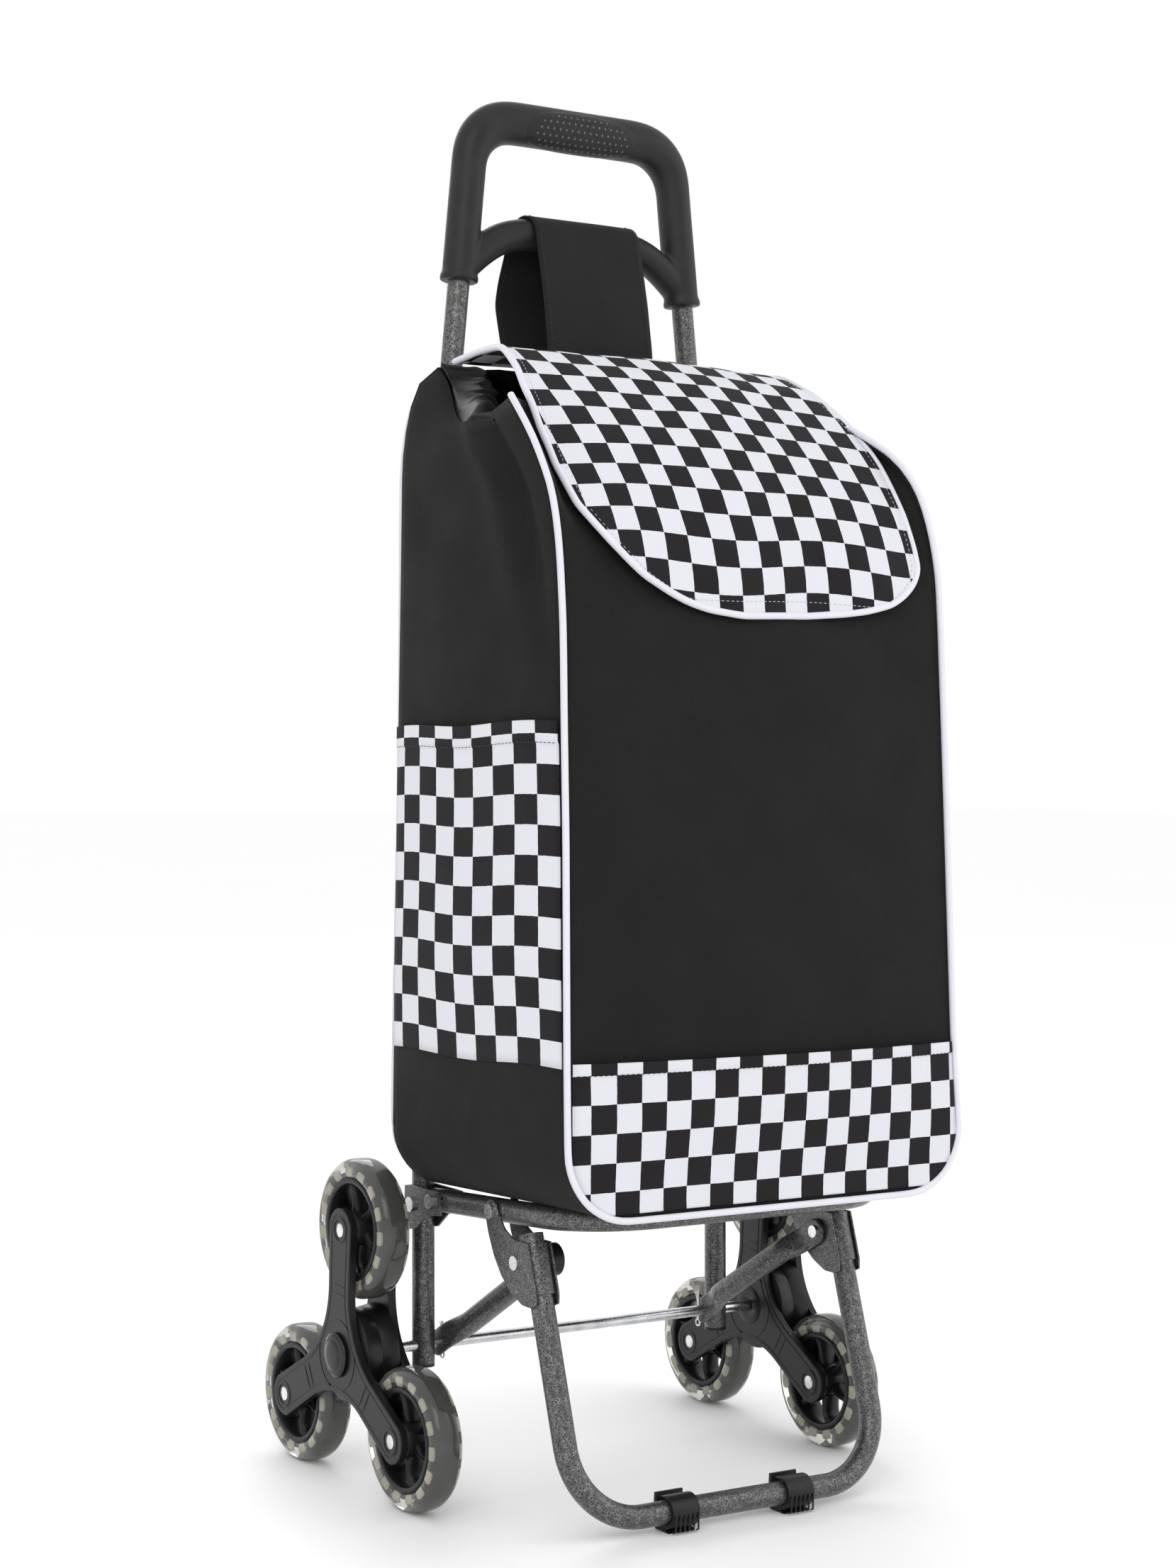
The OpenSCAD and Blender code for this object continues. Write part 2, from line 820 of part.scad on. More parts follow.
// Gathered collar standing on the rim of the bag.
module bag_collar() {
    low = bag_top + 0.05;
    finish(fabric_c) intersection() {
        translate([0, 0, low]) linear_extrude(collar_h) difference() {
            ring_outline(bag_top_hw - 6, rim_front + 8, back_at(bag_top) - 5, 30);
            ring_outline(bag_top_hw - 9, rim_front + 11, back_at(bag_top) - 8, 27);
        }
        translate([-200, 0, 0]) along_x() linear_extrude(400) polygon([
            [rim_front - 10, low - 1], [20, low - 1], [20, low + collar_h + 1],
            [-46, low + collar_h + 1], [rim_front - 10, low + 5]
        ]);
    }
}

// Panel in [x, z] that is straight at the top and rounded at its lower corners.
module panel_outline(hw_low, hw_high, z_low, z_high, r) {
    c = hw_low - r;
    for (s = [-1, 1]) translate([s * c, z_low + r]) circle(r = r);
    translate([-c, z_low]) square([2 * c, r + 1]);
    polygon([[-hw_low, z_low + r], [hw_low, z_low + r], [hw_high, z_high], [-hw_high, z_high]]);
}

// Edge of that panel, w wide, open at the top.
module panel_edge(hw_low, hw_high, z_low, z_high, r, w) {
    difference() {
        panel_outline(hw_low, hw_high, z_low, z_high, r);
        panel_outline(hw_low - w, hw_high - w, z_low + w, z_high + 1, r - w);
    }
}

module front_piping() {
    finish(piping_c) front_frame() translate([0, -0.05, 0]) rotate([90, 0, 0])
        linear_extrude(2 * piping_r) panel_edge(bag_hw - 1, bag_top_hw, 216.5 - front_z,
            bevel_z - 2 - front_z, bag_corner - 1, 2 * piping_r);
}

module back_piping() {
    finish(piping_c) back_frame() translate([0, 2 * piping_r + 0.05, 0]) rotate([90, 0, 0])
        linear_extrude(2 * piping_r) panel_edge(bag_hw - 1, bag_top_hw, 207 - back_z,
            bag_top - 2 - back_z, bag_corner - 1, 2 * piping_r);
}

module front_pocket() {
    finish(check_c) front_frame() translate([0, -0.1, 0]) rotate([90, 0, 0])
        linear_extrude(pocket_t) panel_outline(bag_hw - pocket_inset, bag_hw - pocket_inset,
            pocket_low - front_z, pocket_top - front_z, bag_corner - pocket_inset);
}

module side_pocket() {
    z0 = 306;
    z1 = 530;
    finish(check_c) intersection() {
        translate([0, 50, 0]) rotate([90, 0, 0]) linear_extrude(400) polygon([
            [side_at(z0) + 0.1, z0], [side_at(z1) + 0.1, z1],
            [side_at(z1) + 4.1, z1], [side_at(z0) + 4.1, z0]
        ]);
        translate([100, 0, 0]) along_x() linear_extrude(100) polygon([
            [back_at(z0) - 4, z0 - 2], [back_at(z1) - 4, z1 - 6],
            [front_at(z1) + 3, z1 + 6], [front_at(z0) + 3, z0 + 8]
        ]);
    }
}

module side_pocket_left() {
    mirror([1, 0, 0]) side_pocket();
}

module side_pocket_right() {
    side_pocket();
}

// Webbing loop over the arch bar of the handle, sewn to the bag's back panel.
module handle_strap() {
    bar = [arch_z * sin(upright_lean), axle_z + arch_z * cos(upright_lean)];
    ri = arch_w * sqrt(2) / 2 + 0.5;
    ro = ri + strap_t;
    front_low = [2.5, 781];
    back_mid = [60, 830];
    back_low = [back_at(760) + 2, 762];
    back_end = [back_at(700) + 0.3, 700];
    out = [strap_t, 0];
    finish(fabric_c) translate([strap_x0, 0, 0]) along_x() linear_extrude(strap_w)
        polygon(concat(
            [front_low - [0, 6], front_low - out],
            arc_pts(bar, ro, 195, -8, 18),
            [back_mid + out, back_low + out, back_end + out, back_end, back_low, back_mid],
            arc_pts(bar, ri, -8, 195, 18),
            [front_low]
        ));
}

// flap section in [y, z]
flap_eye = [-36, flap_ridge] - flap_bend * [cos(90 + flap_start), sin(90 + flap_start)];

module flap_section() {
    polygon(concat(
        [flap_hinge + [0, flap_t], [-36, flap_ridge + flap_t]],
        arc_pts(flap_eye, flap_bend + flap_t, 90 + flap_start, 90 + flap_end, 18),
        arc_pts(flap_eye, flap_bend, 90 + flap_end, 90 + flap_start, 18),
        [[-36, flap_ridge], flap_hinge]
    ));
}

// Edge of the flap in [x, z], w outside the cloth.
function flap_edge_side(w) = concat(
    [[flap_top_hw + w, 801]],
    [for (a = [0:-7.5:-90]) [
        flap_level + (flap_hw - flap_level + w) * cos(a),
        flap_bottom + flap_corner + (flap_corner + w) * sin(a)
    ]]
);

module flap_front_outline(w) {
    polygon(concat(flap_edge_side(w), flip(flap_edge_side(w))));
}

module flap() {
    finish(check_c) intersection() {
        translate([0, 50, 0]) rotate([90, 0, 0]) linear_extrude(400) flap_front_outline(0);
        translate([-200, 0, 0]) along_x() linear_extrude(400) flap_section();
    }
}

// Piping all round the free edge of the flap.
module flap_piping() {
    finish(piping_c) intersection() {
        translate([0, 50, 0]) rotate([90, 0, 0]) linear_extrude(400) difference() {
            flap_front_outline(2 * piping_r + 0.5);
            flap_front_outline(0.5);
        }
        translate([-200, 0, 0]) along_x() linear_extrude(400) flap_section();
        translate([-200, -300, 500]) cube([400, 262, 400]);
    }
}

upright_left();
upright_right();
upright_end_plugs();
hinge_bracket_left();
hinge_bracket_right();
bracket_bolts();
axle();
cotter_pins();
handle();
handle_screws();
grip_insert();
shelf_frame();
leg_frame();
leg_plate_left();
leg_plate_right();
leg_rivets();
foot_clip_left();
foot_clip_right();
strut_left();
strut_right();
strut_rivets();
pivot_cap();
star_left_outer();
star_left_inner();
star_right_outer();
star_right_inner();
star_left_bearings();
star_right_bearings();
star_left_cap();
star_right_cap();
wheel_axles_left();
wheel_axles_right();
hub_left_top();
hub_left_back();
hub_left_front();
hub_right_top();
hub_right_back();
hub_right_front();
tyre_left_top();
tyre_left_back();
tyre_left_front();
tyre_right_top();
tyre_right_back();
tyre_right_front();
bag_body();
base_board();
bag_collar();
front_piping();
back_piping();
front_pocket();
side_pocket_left();
side_pocket_right();
handle_strap();
flap();
flap_piping();
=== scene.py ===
"""Visual model of an upright shopping trolley with a lidded bag and stair-climbing wheel stars."""

from __future__ import annotations

import logging
import math
from dataclasses import dataclass, field
from enum import Enum
from typing import Sequence
import bmesh
import bpy
import numpy as np
from mathutils import Matrix, Vector, noise


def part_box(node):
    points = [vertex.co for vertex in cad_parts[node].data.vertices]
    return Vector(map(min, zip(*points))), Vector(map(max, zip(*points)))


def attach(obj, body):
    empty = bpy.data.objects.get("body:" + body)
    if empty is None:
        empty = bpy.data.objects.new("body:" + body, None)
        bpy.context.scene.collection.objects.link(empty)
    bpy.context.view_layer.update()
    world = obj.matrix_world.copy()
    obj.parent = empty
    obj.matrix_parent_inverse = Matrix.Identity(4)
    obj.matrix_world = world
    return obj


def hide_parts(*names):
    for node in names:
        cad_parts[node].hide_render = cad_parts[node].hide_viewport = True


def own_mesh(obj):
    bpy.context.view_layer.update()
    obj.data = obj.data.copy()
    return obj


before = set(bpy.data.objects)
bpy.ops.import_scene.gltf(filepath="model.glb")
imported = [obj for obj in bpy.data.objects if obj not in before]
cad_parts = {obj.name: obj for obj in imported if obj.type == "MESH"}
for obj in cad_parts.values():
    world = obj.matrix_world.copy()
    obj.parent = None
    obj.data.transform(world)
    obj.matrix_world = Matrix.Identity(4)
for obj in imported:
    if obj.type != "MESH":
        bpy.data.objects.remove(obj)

LOG = logging.getLogger("trolley")
MM = 0.001
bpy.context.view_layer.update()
AXLE_LOW, AXLE_HIGH = (np.array(corner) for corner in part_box("axle"))
AXLE_Y = float(AXLE_LOW[1] + AXLE_HIGH[1]) / 2
AXLE_Z = float(AXLE_LOW[2] + AXLE_HIGH[2]) / 2 / MM
FLAT = "cloth"
STAR_X = 178.0
STAR_R = 86.5
ARMS = {"top": 90.0, "back": 330.0, "front": 210.0}


class Side(Enum):
    """Which half of the trolley a piece belongs to."""

    LEFT = -1
    RIGHT = 1

    @property
    def word(self) -> str:
        """The side's name as it stands in node and body names.

        Returns:
            left or right.
        """
        return self.name.lower()


# ---------------------------------------------------------------- small geometry helpers


def placed(points: np.ndarray) -> np.ndarray:
    """Turns points in millimetres, measured from the axle's plane, into the frame's metres.

    Args:
        points: array whose last axis is x, y, z, with y = 0 at the axle.

    Returns:
        The same points in metres in the CAD frame.
    """
    return np.asarray(points, float) * MM + np.array([0.0, AXLE_Y, 0.0])


def resampled(path: Sequence[Sequence[float]], count: int) -> np.ndarray:
    """Spaces points evenly along a path.

    Args:
        path: corner points of the path.
        count: how many points to return.

    Returns:
        Array of count points, the first and last being the path's ends.
    """
    pts = np.asarray(path, float)
    along = np.concatenate([[0], np.cumsum(np.linalg.norm(np.diff(pts, axis=0), axis=1))])
    at = np.linspace(0, along[-1], count)
    return np.stack([np.interp(at, along, pts[:, k]) for k in range(pts.shape[1])], axis=1)


def rounded(path: Sequence[Sequence[float]], count: int, passes: int = 12) -> np.ndarray:
    """Resamples a path and eases its corners.

    Args:
        path: corner points.
        count: how many points to return.
        passes: how many times neighbours are averaged.

    Returns:
        The eased path with its ends kept.
    """
    pts = resampled(path, count)
    for _ in range(passes):
        pts[1:-1] = (pts[:-2] + 2 * pts[1:-1] + pts[2:]) / 4
    return pts


def lengths(path: np.ndarray) -> np.ndarray:
    """Distance from the first point to each point of a path.

    Args:
        path: points along it.

    Returns:
        Distances in the units of the path.
    """
    return np.concatenate([[0], np.cumsum(np.linalg.norm(np.diff(path, axis=0), axis=1))])


def arc(centre: Sequence[float], radius: float, start: float, end: float, count: int) -> list:
    """Points on a circle in two dimensions.

    Args:
        centre: middle of the circle.
        radius: its radius.
        start: first angle in degrees.
        end: last angle in degrees.
        count: number of points.

    Returns:
        List of [a, b] points.
    """
    angles = np.radians(np.linspace(start, end, count))
    return [[centre[0] + radius * math.cos(t), centre[1] + radius * math.sin(t)] for t in angles]


def ripple(point: Sequence[float], scale: float, seed: float) -> float:
    """Smooth repeatable noise between about -1 and 1.

    Args:
        point: where it is read, in millimetres.
        scale: size of one swell in millimetres.
        seed: offset that picks the pattern.

    Returns:
        The noise value.
    """
    return noise.noise(Vector(point) / scale + Vector((seed, seed * 1.7, -seed)))


@dataclass
class Form:
    """A mesh being put together from grids and tubes, in millimetres from the axle's plane."""

    name: str
    verts: list = field(default_factory=list)
    faces: list = field(default_factory=list)
    cloth: list = field(default_factory=list)

    def grid(self, pts: np.ndarray, cloth: np.ndarray | None = None, wrap: bool = False) -> None:
        """Adds a sheet of quads.

        Args:
            pts: array of rows, columns and coordinates.
            cloth: flat coordinates in millimetres for each point, or None for none.
            wrap: whether the last column joins the first.
        """
        rows, cols, _ = pts.shape
        base = len(self.verts)
        self.verts += pts.reshape(-1, 3).tolist()
        flat = np.zeros((rows, cols, 2)) if cloth is None else cloth
        self.cloth += flat.reshape(-1, 2).tolist()
        last = cols if wrap else cols - 1
        for i in range(rows - 1):
            for j in range(last):
                k = (j + 1) % cols
                a, b = base + i * cols, base + (i + 1) * cols
                self.faces.append((a + j, a + k, b + k, b + j))

    def cap(self, ring: np.ndarray, out: bool) -> None:
        """Closes a ring of points with one face.

        Args:
            ring: the ring's points.
            out: whether the ring's own order faces outwards.
        """
        base = len(self.verts)
        self.verts += ring.tolist()
        self.cloth += [[0, 0]] * len(ring)
        order = list(range(base, base + len(ring)))
        self.faces.append(tuple(order if out else order[::-1]))

    def sweep(
        self,
        path: np.ndarray,
        wide: float | np.ndarray,
        deep: float | np.ndarray,
        across: Sequence[float],
        sides: int = 16,
        caps: bool = True,
    ) -> None:
        """Adds an oval tube along a path.

        Args:
            path: centre points.
            wide: radius at right angles to the across direction, for each point or all.
            deep: radius along the across direction.
            across: direction that stays one axis of the section.
            sides: points round the section.
            caps: whether both ends are closed.
        """
        n = len(path)
        step = np.gradient(path, axis=0)
        step /= np.linalg.norm(step, axis=1)[:, None] + 1e-12
        b = np.array(across, float)[None, :] - step * (step @ np.array(across, float))[:, None]
        b /= np.linalg.norm(b, axis=1)[:, None] + 1e-12
        a = np.cross(b, step)
        t = np.linspace(0, 2 * math.pi, sides, endpoint=False)
        w = np.broadcast_to(wide, n)[:, None, None]
        d = np.broadcast_to(deep, n)[:, None, None]
        rings = (
            path[:, None, :]
            + w * np.cos(t)[None, :, None] * a[:, None, :]
            + d * np.sin(t)[None, :, None] * b[:, None, :]
        )
        along = lengths(path)
        girth = float(np.mean(wide)) * t
        flat = np.stack(np.broadcast_arrays(girth[None, :], along[:, None]), axis=2)
        self.grid(rings, flat, wrap=True)
        if caps:
            self.cap(rings[0], True)
            self.cap(rings[-1], False)

    def lathe(self, profile: Sequence[Sequence[float]], centre: Sequence[float], sides: int = 64) -> None:
        """Adds a turned shape about a line through centre along X.

        Args:
            profile: closed or open list of [x, radius].
            centre: point that x is measured from.
            sides: points round the axis.
        """
        prof = np.asarray(profile, float)
        t = np.linspace(0, 2 * math.pi, sides, endpoint=False)
        pts = np.zeros((len(prof), sides, 3))
        pts[:, :, 0] = centre[0] + prof[:, 0][:, None]
        pts[:, :, 1] = centre[1] + prof[:, 1][:, None] * np.cos(t)[None, :]
        pts[:, :, 2] = centre[2] + prof[:, 1][:, None] * np.sin(t)[None, :]
        flat = np.zeros((len(prof), sides, 2))
        flat[:, :, 0] = prof[:, 1][:, None] * t[None, :]
        flat[:, :, 1] = lengths(prof)[:, None]
        self.grid(pts, flat, wrap=True)

    def stitches(self, path: np.ndarray, long: float = 2.6, gap: float = 1.3, r: float = 0.28) -> None:
        """Adds a row of thread stitches along a path.

        Args:
            path: points that the seam follows.
            long: length of a stitch.
            gap: space between stitches.
            r: thread radius.
        """
        along = lengths(path)
        at = 0.5
        while at + long < along[-1]:
            spots = np.linspace(at, at + long, 4)
            seg = np.stack([np.interp(spots, along, path[:, k]) for k in range(3)], axis=1)
            self.sweep(seg, np.array([0.35, 1, 1, 0.35]) * r, np.array([0.35, 1, 1, 0.35]) * r,
                       (0.3, 0.5, 0.8), 6)
            at += long + gap

    def made(self, body: str, slot: str, finish: bpy.types.Material,
             smooth: bool = True) -> bpy.types.Object:
        """Makes the Blender object and lets it ride on a body.

        Args:
            body: name of the CAD body it moves with.
            slot: the record's material slot; not used.
            finish: the material.
            smooth: whether its faces are shaded smooth.

        Returns:
            The new object.
        """
        mesh = bpy.data.meshes.new(self.name)
        mesh.from_pydata(placed(np.array(self.verts)).tolist(), [], self.faces)
        layer = mesh.attributes.new(FLAT, "FLOAT_VECTOR", "POINT")
        flat = np.zeros((len(self.verts), 3))
        flat[:, :2] = np.array(self.cloth)
        layer.data.foreach_set("vector", flat.ravel())
        mesh.polygons.foreach_set("use_smooth", [smooth] * len(mesh.polygons))
        obj = bpy.data.objects.new(self.name, mesh)
        bpy.context.scene.collection.objects.link(obj)
        mesh.materials.append(finish)
        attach(obj, body)
        LOG.info("piece %s rides on %s", self.name, body)
        return obj


def welded(obj: bpy.types.Object, reach: float = 0.02) -> None:
    """Joins points that lie together and turns all faces outwards.

    Args:
        obj: the piece.
        reach: joining distance in millimetres.
    """
    mesh = bmesh.new()
    mesh.from_mesh(obj.data)
    bmesh.ops.remove_doubles(mesh, verts=mesh.verts, dist=reach * MM)
    bmesh.ops.recalc_face_normals(mesh, faces=mesh.faces)
    mesh.to_mesh(obj.data)
    mesh.free()


def applied(obj: bpy.types.Object) -> None:
    """Applies every modifier of a piece.

    Args:
        obj: the piece.
    """
    graph = bpy.context.evaluated_depsgraph_get()
    mesh = bpy.data.meshes.new_from_object(obj.evaluated_get(graph))
    old = obj.data
    obj.modifiers.clear()
    obj.data = mesh
    bpy.data.meshes.remove(old)


def thickened(obj: bpy.types.Object, thick: float, offset: float = -1.0) -> None:
    """Gives a sheet its thickness.

    Args:
        obj: the sheet.
        thick: thickness in millimetres.
        offset: -1 grows inwards, 0 both ways, 1 outwards.
    """
    mod = obj.modifiers.new("thickness", "SOLIDIFY")
    mod.thickness = thick * MM
    mod.offset = offset
    mod.use_even_offset = False


def bevelled(obj: bpy.types.Object, width: float, segments: int = 2, angle: float = 35.0) -> None:
    """Rounds the sharp edges of a piece.

    Args:
        obj: the piece.
        width: width of the rounding in millimetres.
        segments: how many strips it has.
        angle: smallest edge angle that is rounded, in degrees.
    """
    mod = obj.modifiers.new("soft_edges", "BEVEL")
    mod.width = width * MM
    mod.segments = segments
    mod.limit_method = "ANGLE"
    mod.angle_limit = math.radians(angle)
    mod.harden_normals = False


# ---------------------------------------------------------------- finishes


class Graph:
    """A material's node tree with short ways to add nodes."""

    def __init__(self, name: str) -> None:
        """Makes an empty material with its output and main shader.

        Args:
            name: the material's name.
        """
        self.material = bpy.data.materials.new(name)
        self.material.use_nodes = True
        self.tree = self.material.node_tree
        self.shader = self.tree.nodes["Principled BSDF"]

    def node(self, kind: str, settings: dict | None = None, **inputs: object) -> bpy.types.Node:
        """Adds a node and fills its inputs.

        Args:
            kind: node type without the ShaderNode prefix.
            settings: node properties to set first.
            **inputs: input sockets by name with _ for a space, as values or other sockets.

        Returns:
            The new node.
        """
        made = self.tree.nodes.new("ShaderNode" + kind)
        for key, value in (settings or {}).items():
            setattr(made, key, value)
        for key, value in inputs.items():
            self.feed(made, key.replace("_", " "), value)
        return made

    def feed(self, node: bpy.types.Node, name: str, value: object) -> None:
        """Sets or links one input.

        Args:
            node: the node that has the input.
            name: the socket's name.
            value: a constant or an output socket.
        """
        socket = next(s for s in node.inputs if s.name == name and s.enabled)
        if isinstance(value, bpy.types.NodeSocket):
            self.tree.links.new(value, socket)
        else:
            socket.default_value = value

    def math(self, operation: str, a: object, b: object = 0.0, c: object = 0.0) -> bpy.types.NodeSocket:
        """Adds a math node.

        Args:
            operation: Blender's name for the operation.
            a: first value or socket.
            b: second value or socket.
            c: third value or socket.

        Returns:
            The output socket.
        """
        made = self.tree.nodes.new("ShaderNodeMath")
        made.operation = operation
        for socket, value in zip(made.inputs, (a, b, c)):
            if isinstance(value, bpy.types.NodeSocket):
                self.tree.links.new(value, socket)
            else:
                socket.default_value = value
        return made.outputs[0]

    def mix(self, factor: object, a: object, b: object) -> bpy.types.NodeSocket:
        """Mixes two colours.

        Args:
            factor: 0 gives a and 1 gives b.
            a: colour or socket.
            b: colour or socket.

        Returns:
            The colour output.
        """
        made = self.tree.nodes.new("ShaderNodeMix")
        made.data_type = "RGBA"
        for socket, value in ((made.inputs[0], factor), (made.inputs[6], a), (made.inputs[7], b)):
            if isinstance(value, bpy.types.NodeSocket):
                self.tree.links.new(value, socket)
            else:
                socket.default_value = value
        return made.outputs[2]

    def spread(self, value: object, low: float, high: float, to_low: float,
               to_high: float) -> bpy.types.NodeSocket:
        """Maps a range onto another, clamped.

        Args:
            value: socket to map.
            low: start of the source range.
            high: end of the source range.
            to_low: result at low.
            to_high: result at high.

        Returns:
            The mapped output.
        """
        made = self.node("MapRange", Value=value, From_Min=low, From_Max=high, To_Min=to_low,
                         To_Max=to_high)
        return made.outputs[0]

    def place(self) -> bpy.types.NodeSocket:
        """Coordinates in metres that stay with the piece.

        Returns:
            A socket of the coordinates.
        """
        return self.node("TexCoord").outputs["Object"]

    def cloth(self) -> tuple:
        """Flat coordinates in millimetres.

        Returns:
            Sockets for the vector, across and along.
        """
        vector = self.node("Attribute", {"attribute_name": FLAT}).outputs["Vector"]
        split = self.node("SeparateXYZ", Vector=vector)
        return vector, split.outputs[0], split.outputs[1]

    def noise(self, vector: bpy.types.NodeSocket, scale: float,
              detail: float = 3.0) -> bpy.types.NodeSocket:
        """Soft noise from 0 to 1.

        Args:
            vector: coordinates.
            scale: Blender's scale.
            detail: number of octaves.

        Returns:
            The factor output.
        """
        return self.node("TexNoise", Vector=vector, Scale=scale, Detail=detail).outputs[0]

    def bump(self, height: object, distance: float, strength: float = 1.0) -> None:
        """Adds relief, on top of any relief there already.

        Args:
            height: height from 0 to 1.
            distance: how far 1 stands up, in millimetres.
            strength: blend of the relief.
        """
        made = self.node("Bump", Height=height, Strength=strength, Distance=distance * MM)
        there = self.shader.inputs["Normal"].links
        if there:
            self.feed(made, "Normal", there[0].from_socket)
        self.tree.links.new(made.outputs[0], self.shader.inputs["Normal"])

    def weave(self, u: object, v: object, pitch: float, slope: float) -> bpy.types.NodeSocket:
        """Height of a diagonal or plain weave.

        Args:
            u: coordinate across.
            v: coordinate along.
            pitch: width of a thread in millimetres.
            slope: 1 for twill, 0 for plain.

        Returns:
            Height from 0 to 1.
        """
        turn = 2 * math.pi / pitch
        warp = self.math("SINE", self.math("MULTIPLY", self.math("ADD", u,
                                                                 self.math("MULTIPLY", v, slope)), turn))
        weft = self.math("SINE", self.math("MULTIPLY", self.math("SUBTRACT", v,
                self.math("MULTIPLY", u, slope * 0.4)), turn * 1.3))
        return self.math("ADD", self.math("MULTIPLY", warp, 0.3),
                         self.math("MULTIPLY_ADD", weft, 0.15, 0.5))


@dataclass(frozen=True)
class Hammertone:
    """Dark enamel with fine silver veins over steel tube."""

    name: str = "hammertone_paint"
    dark: tuple = (0.010, 0.010, 0.011, 1)
    vein: tuple = (0.24, 0.235, 0.23, 1)

    def made(self) -> bpy.types.Material:
        """Builds the material.

        Returns:
            The material.
        """
        g = Graph(self.name)
        place = g.place()
        warp = g.node("TexNoise", Vector=place, Scale=380.0, Detail=2.0).outputs["Color"]
        bent = g.node("VectorMath", {"operation": "MULTIPLY_ADD"})
        g.tree.links.new(warp, bent.inputs[0])
        bent.inputs[1].default_value = (0.0022, 0.0022, 0.0022)
        g.tree.links.new(place, bent.inputs[2])
        cells = g.node("TexVoronoi", {"feature": "DISTANCE_TO_EDGE"}, Vector=bent.outputs[0], Scale=560.0)
        veins = g.spread(cells.outputs[0], 0.02, 0.20, 1.0, 0.0)
        specks = g.spread(g.noise(place, 1700.0, 2.0), 0.52, 0.68, 0.0, 0.6)
        light = g.math("MAXIMUM", g.math("MULTIPLY", veins, g.spread(g.noise(place, 300.0), 0.35, 0.62,
                                                                     0.35, 1.0)), specks)
        g.feed(g.shader, "Base Color", g.mix(light, self.dark, self.vein))
        g.feed(g.shader, "Metallic", g.spread(light, 0, 1, 0.25, 0.85))
        g.feed(g.shader, "Roughness", g.spread(light, 0, 1, 0.34, 0.42))
        g.shader.inputs["Coat Weight"].default_value = 0.2
        g.shader.inputs["Coat Roughness"].default_value = 0.22
        g.bump(cells.outputs[0], 0.16, 0.6)
        return g.material


@dataclass(frozen=True)
class Metal:
    """Plated or polished metal."""

    name: str
    tint: tuple = (0.62, 0.63, 0.65, 1)
    rough: float = 0.28
    grain: float = 900.0

    def made(self) -> bpy.types.Material:
        """Builds the material.

        Returns:
            The material.
        """
        g = Graph(self.name)
        place = g.place()
        haze = g.noise(place, self.grain)
        worn = g.noise(place, 60.0)
        dull = tuple(c * 0.72 for c in self.tint[:3]) + (1,)
        g.feed(g.shader, "Base Color", g.mix(g.spread(worn, 0.35, 0.7, 0, 1), self.tint, dull))
        g.feed(g.shader, "Roughness", g.spread(haze, 0.3, 0.7, self.rough * 0.7, self.rough * 1.4))
        g.shader.inputs["Metallic"].default_value = 1.0
        g.bump(haze, 0.02, 0.4)
        return g.material


@dataclass(frozen=True)
class Moulded:
    """Moulded plastic with a fine sparked grain."""

    name: str
    tint: tuple = (0.018, 0.018, 0.02, 1)
    rough: float = 0.42
    grain: float = 2200.0
    relief: float = 0.03

    def made(self) -> bpy.types.Material:
        """Builds the material.

        Returns:
            The material.
        """
        g = Graph(self.name)
        place = g.place()
        grain = g.noise(place, self.grain, 2.0)
        cloud = g.noise(place, 45.0)
        pale = tuple(min(1.0, c * 1.5 + 0.004) for c in self.tint[:3]) + (1,)
        g.feed(g.shader, "Base Color", g.mix(g.spread(cloud, 0.3, 0.75, 0, 1), self.tint, pale))
        g.feed(g.shader, "Roughness", g.spread(cloud, 0.3, 0.7, self.rough - 0.05, self.rough + 0.07))
        g.shader.inputs["Specular IOR Level"].default_value = 0.3
        g.bump(grain, self.relief, 0.7)
        return g.material


@dataclass(frozen=True)
class DimpledRubber:
    """Soft grip with staggered rows of small round dimples."""

    name: str = "dimpled_grip"
    pitch: float = 5.2
    dot: float = 0.75

    def made(self) -> bpy.types.Material:
        """Builds the material.

        Returns:
            The material.
        """
        g = Graph(self.name)
        _, u, v = g.cloth()
        row = g.math("FLOOR", g.math("DIVIDE", v, self.pitch * 0.8))
        shift = g.math("MULTIPLY", g.math("FLOORED_MODULO", row, 2.0), self.pitch / 2)
        x = g.math("SUBTRACT", g.math("FLOORED_MODULO", g.math("ADD", u, shift), self.pitch),
                   self.pitch / 2)
        y = g.math("SUBTRACT", g.math("FLOORED_MODULO", v, self.pitch * 0.8), self.pitch * 0.4)
        away = g.math("SQRT", g.math("ADD", g.math("MULTIPLY", x, x), g.math("MULTIPLY", y, y)))
        dots = g.spread(away, self.dot * 0.6, self.dot * 1.25, 1.0, 0.0)
        wide = g.math("POWER", g.math("DIVIDE", g.math("ABSOLUTE", u), 41.0), 2.0)
        tall = g.math("POWER", g.math("DIVIDE", g.math("ABSOLUTE", g.math("SUBTRACT", v, 60.0)), 15.5), 2.0)
        inside = g.spread(g.math("ADD", wide, tall), 0.96, 1.0, 1.0, 0.0)
        dots = g.math("MULTIPLY", dots, inside)
        g.feed(g.shader, "Base Color", g.mix(dots, (0.012, 0.012, 0.013, 1), (0.13, 0.13, 0.14, 1)))
        g.feed(g.shader, "Roughness", g.spread(g.noise(g.place(), 70.0), 0.3, 0.7, 0.46, 0.58))
        g.shader.inputs["Specular IOR Level"].default_value = 0.3
        g.bump(dots, 0.3, 0.8)
        g.bump(g.noise(g.place(), 2600.0, 2.0), 0.03, 0.6)
        return g.material


